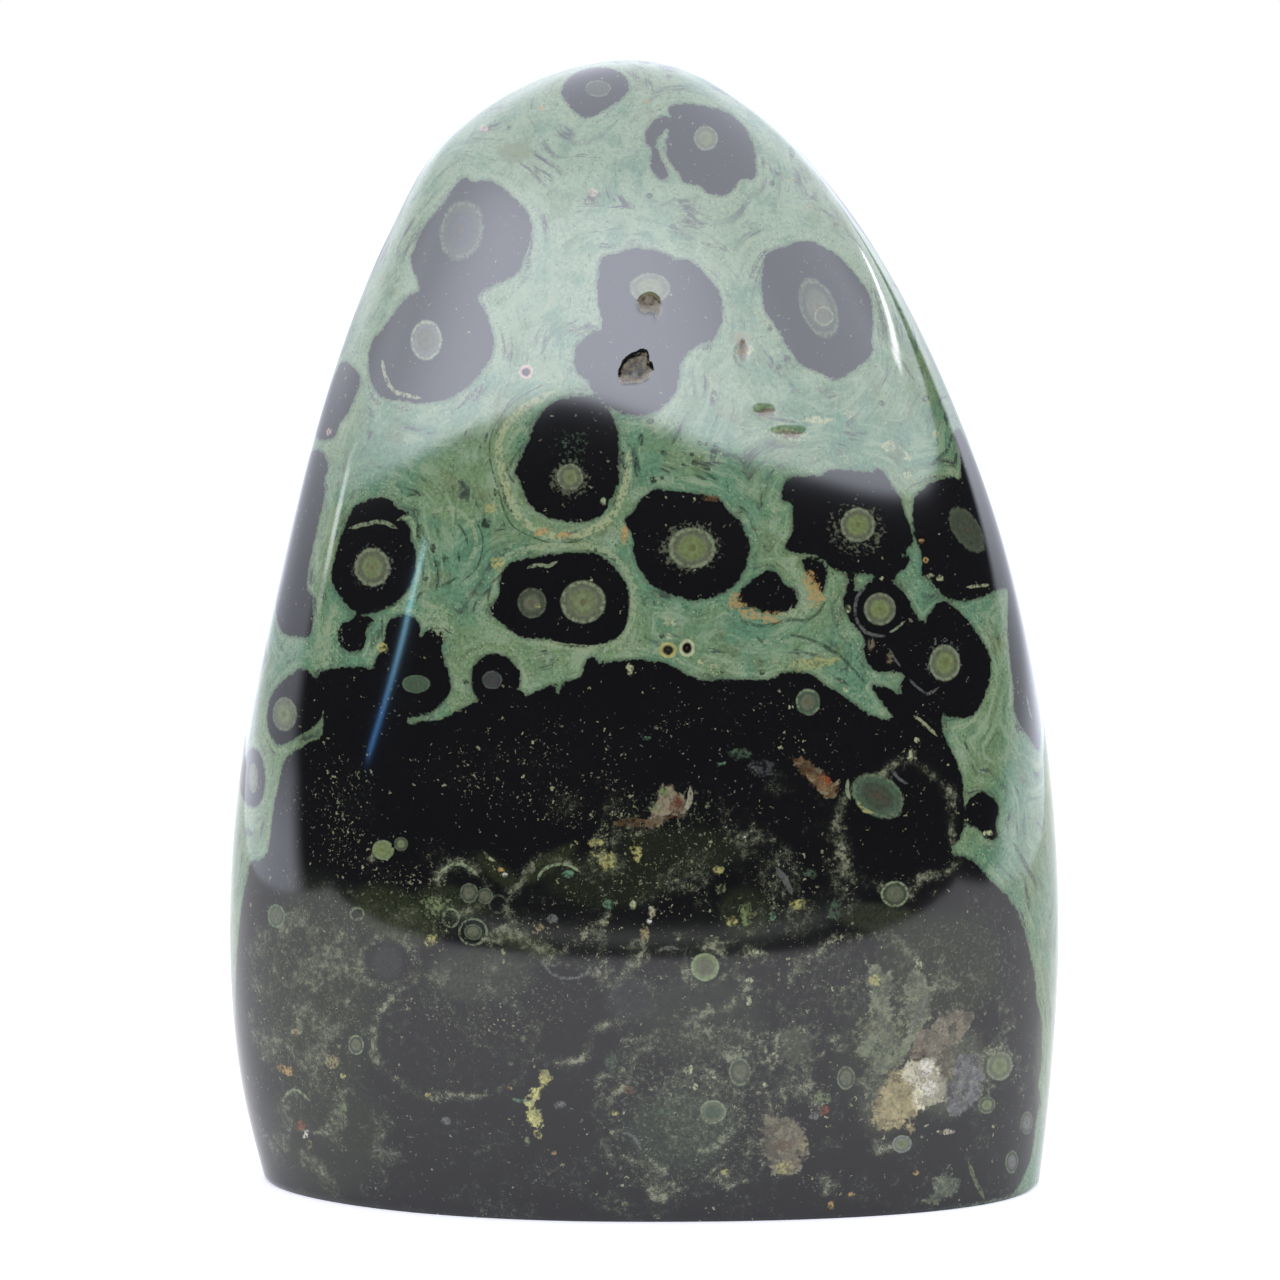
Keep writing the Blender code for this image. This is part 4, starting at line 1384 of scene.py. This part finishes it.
def make_floor():
    """Pale sheet under the stone, with its front edge where the stone's reflections show it to end."""
    half, front, back = np.array(FLOOR) * MM
    mesh = bpy.data.meshes.new("floor")
    corners = [(-half, front, 0), (half, front, 0), (half, back, 0), (-half, back, 0)]
    mesh.from_pydata(corners, [], [(0, 1, 2, 3)])
    floor = bpy.data.objects.new("floor", mesh)
    bpy.context.scene.collection.objects.link(floor)
    material = bpy.data.materials.new("pale sheet")
    material.use_nodes = True
    surface = material.node_tree.nodes["Principled BSDF"]
    surface.inputs["Base Color"].default_value = FLOOR_COLOUR
    surface.inputs["Roughness"].default_value = 0.9
    surface.inputs["Specular IOR Level"].default_value = 0.0
    surface.inputs["Emission Color"].default_value = FLOOR_GLOW
    surface.inputs["Emission Strength"].default_value = FLOOR_GLOW_STRENGTH
    mesh.materials.append(material)
    return floor


def make_camera():
    data = bpy.data.cameras.new("camera")
    data.lens = LENS
    data.sensor_width = SENSOR
    data.clip_start = 0.01
    camera = bpy.data.objects.new("camera", data)
    camera.location = Vector(CAMERA_PLACE * MM)
    camera.rotation_euler = Vector(FORWARD).to_track_quat("-Z", "Y").to_euler()
    bpy.context.scene.collection.objects.link(camera)
    bpy.context.scene.camera = camera


# Light of the tent's cloth, its dark opening, both ends of the blue gap, and the thin line low in front
CLOTH = (0.96, 1.0, 1.14, 1.0)
OPENING = (0.05, 0.05, 0.055, 1.0)
GAP_BELOW = (1.0, 3.0, 7.0, 1.0)
GAP_ABOVE = (4.0, 8.0, 10.0, 1.0)
THIN_LINE = (1.2, 1.25, 1.2, 1.0)

# What matt surfaces get from the tent, and what the camera sees behind the stone
SOFT_LIGHT = (1.15, 1.15, 1.15, 1.0)
BACKDROP = (1.0, 1.0, 1.0, 1.0)

# Bright slits: azimuth and elevation in degrees, each with how far out the slit ends and starts, and glow
GLINTS = (
    ((113.0, 18.0, 14.0), (22.4, 0.9, 0.4), (14.0, 14.0, 15.0, 1.0)),
    ((-92.5, 2.2, 1.2), (9.5, 3.0, 1.0), (7.0, 7.0, 7.6, 1.0)),
)


def make_light():
    """White tent all round, with a bright panel high in front and a dark opening round the camera."""
    world = bpy.data.worlds.new("light tent")
    bpy.context.scene.world = world
    world.use_nodes = True
    graph = Graph(world.node_tree)
    background = world.node_tree.nodes["Background"]
    direction = graph.add("ShaderNodeTexCoord").outputs["Generated"]
    x, y, z = graph.parts(direction)
    to_front = graph.times(y, -1.0)
    azimuth = graph.math("DEGREES", graph.math("ARCTAN2", x, to_front))
    elevation = graph.math("DEGREES", graph.math("ARCSINE", z))

    side = graph.ramp(elevation, 3.0, 14.0, 1.3, 2.8)
    side = graph.math("ADD", side, graph.ramp(elevation, 1.0, -4.0, 0.0, 1.4))
    middle = graph.ramp(graph.apart(azimuth, -18.0), 62.0, 18.0)
    middle = graph.times(middle, graph.ramp(elevation, 52.0, 32.0))
    panel = graph.math("MULTIPLY_ADD", middle, 3.0, 4.6)
    front = graph.ramp(graph.math("ABSOLUTE", azimuth), 110.0, 80.0)
    lifted = graph.times(front, graph.ramp(elevation, 11.0, 15.5))
    lifted = graph.math("MAXIMUM", lifted, graph.ramp(elevation, 25.0, 45.0))
    white = graph.add("ShaderNodeMix", {0: lifted, 2: side, 3: panel}, data_type="FLOAT").outputs[0]

    left_fall = graph.math("MINIMUM", graph.math("ADD", azimuth, 15.0), 0.0)
    top_edge = graph.math("MULTIPLY_ADD", left_fall, 0.11, graph.ramp(azimuth, -12.0, 16.0, 18.7, 16.7))
    above = graph.math("SUBTRACT", elevation, top_edge)
    inside = graph.ramp(above, 0.45, -0.45)
    from_left = graph.math("ADD", azimuth, graph.math("MULTIPLY_ADD", elevation, 1.4, 86.5))
    inside = graph.times(inside, graph.ramp(from_left, -6.0, 5.0))
    from_right = graph.math("SUBTRACT", azimuth, graph.math("MULTIPLY_ADD", elevation, 3.0, 100.0))
    inside = graph.times(inside, graph.ramp(from_right, 7.0, -7.0))
    tent = graph.blend(inside, graph.grey(white), OPENING)
    tent = graph.blend(1.0, tent, CLOTH, "MULTIPLY")

    gap = graph.ramp(graph.apart(azimuth, graph.math("MULTIPLY_ADD", elevation, 0.94, -55.4)), 0.9, 0.5)
    gap = graph.times(gap, graph.ramp(elevation, 10.4, 9.6))
    gap = graph.times(gap, graph.ramp(elevation, 1.0, 2.0))
    tent = graph.blend(gap, tent, graph.blend(graph.ramp(elevation, 3.0, 9.5), GAP_BELOW, GAP_ABOVE))

    for (across, *sides), (up, *ends), glow in GLINTS:
        glint = graph.ramp(graph.apart(azimuth, across), *sides)
        glint = graph.times(glint, graph.ramp(graph.apart(elevation, up), *ends))
        tent = graph.blend(glint, tent, glow)

    bow = graph.times(graph.times(azimuth, azimuth), -0.002)
    from_line = graph.math("ADD", graph.math("ADD", elevation, 9.6), bow)
    line = graph.ramp(graph.math("ABSOLUTE", from_line), 0.9, 0.2, 0.0, 0.8)
    line = graph.times(line, graph.ramp(graph.math("ABSOLUTE", azimuth), 38.0, 18.0))
    tent = graph.blend(line, tent, THIN_LINE)

    path = graph.add("ShaderNodeLightPath")
    seen = graph.blend(path.outputs["Is Diffuse Ray"], tent, SOFT_LIGHT)
    seen = graph.blend(path.outputs["Is Camera Ray"], seen, BACKDROP)
    graph.join(seen, background.inputs["Color"])


stone = make_stone()
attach(stone, "root")
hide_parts("polished_stone")
make_floor()
make_camera()
make_light()
bpy.context.scene.view_settings.view_transform = "Standard"
bpy.context.scene.cycles.use_denoising = True
bpy.context.scene.cycles.max_bounces = 3
bpy.context.scene.world.cycles.sampling_method = "NONE"
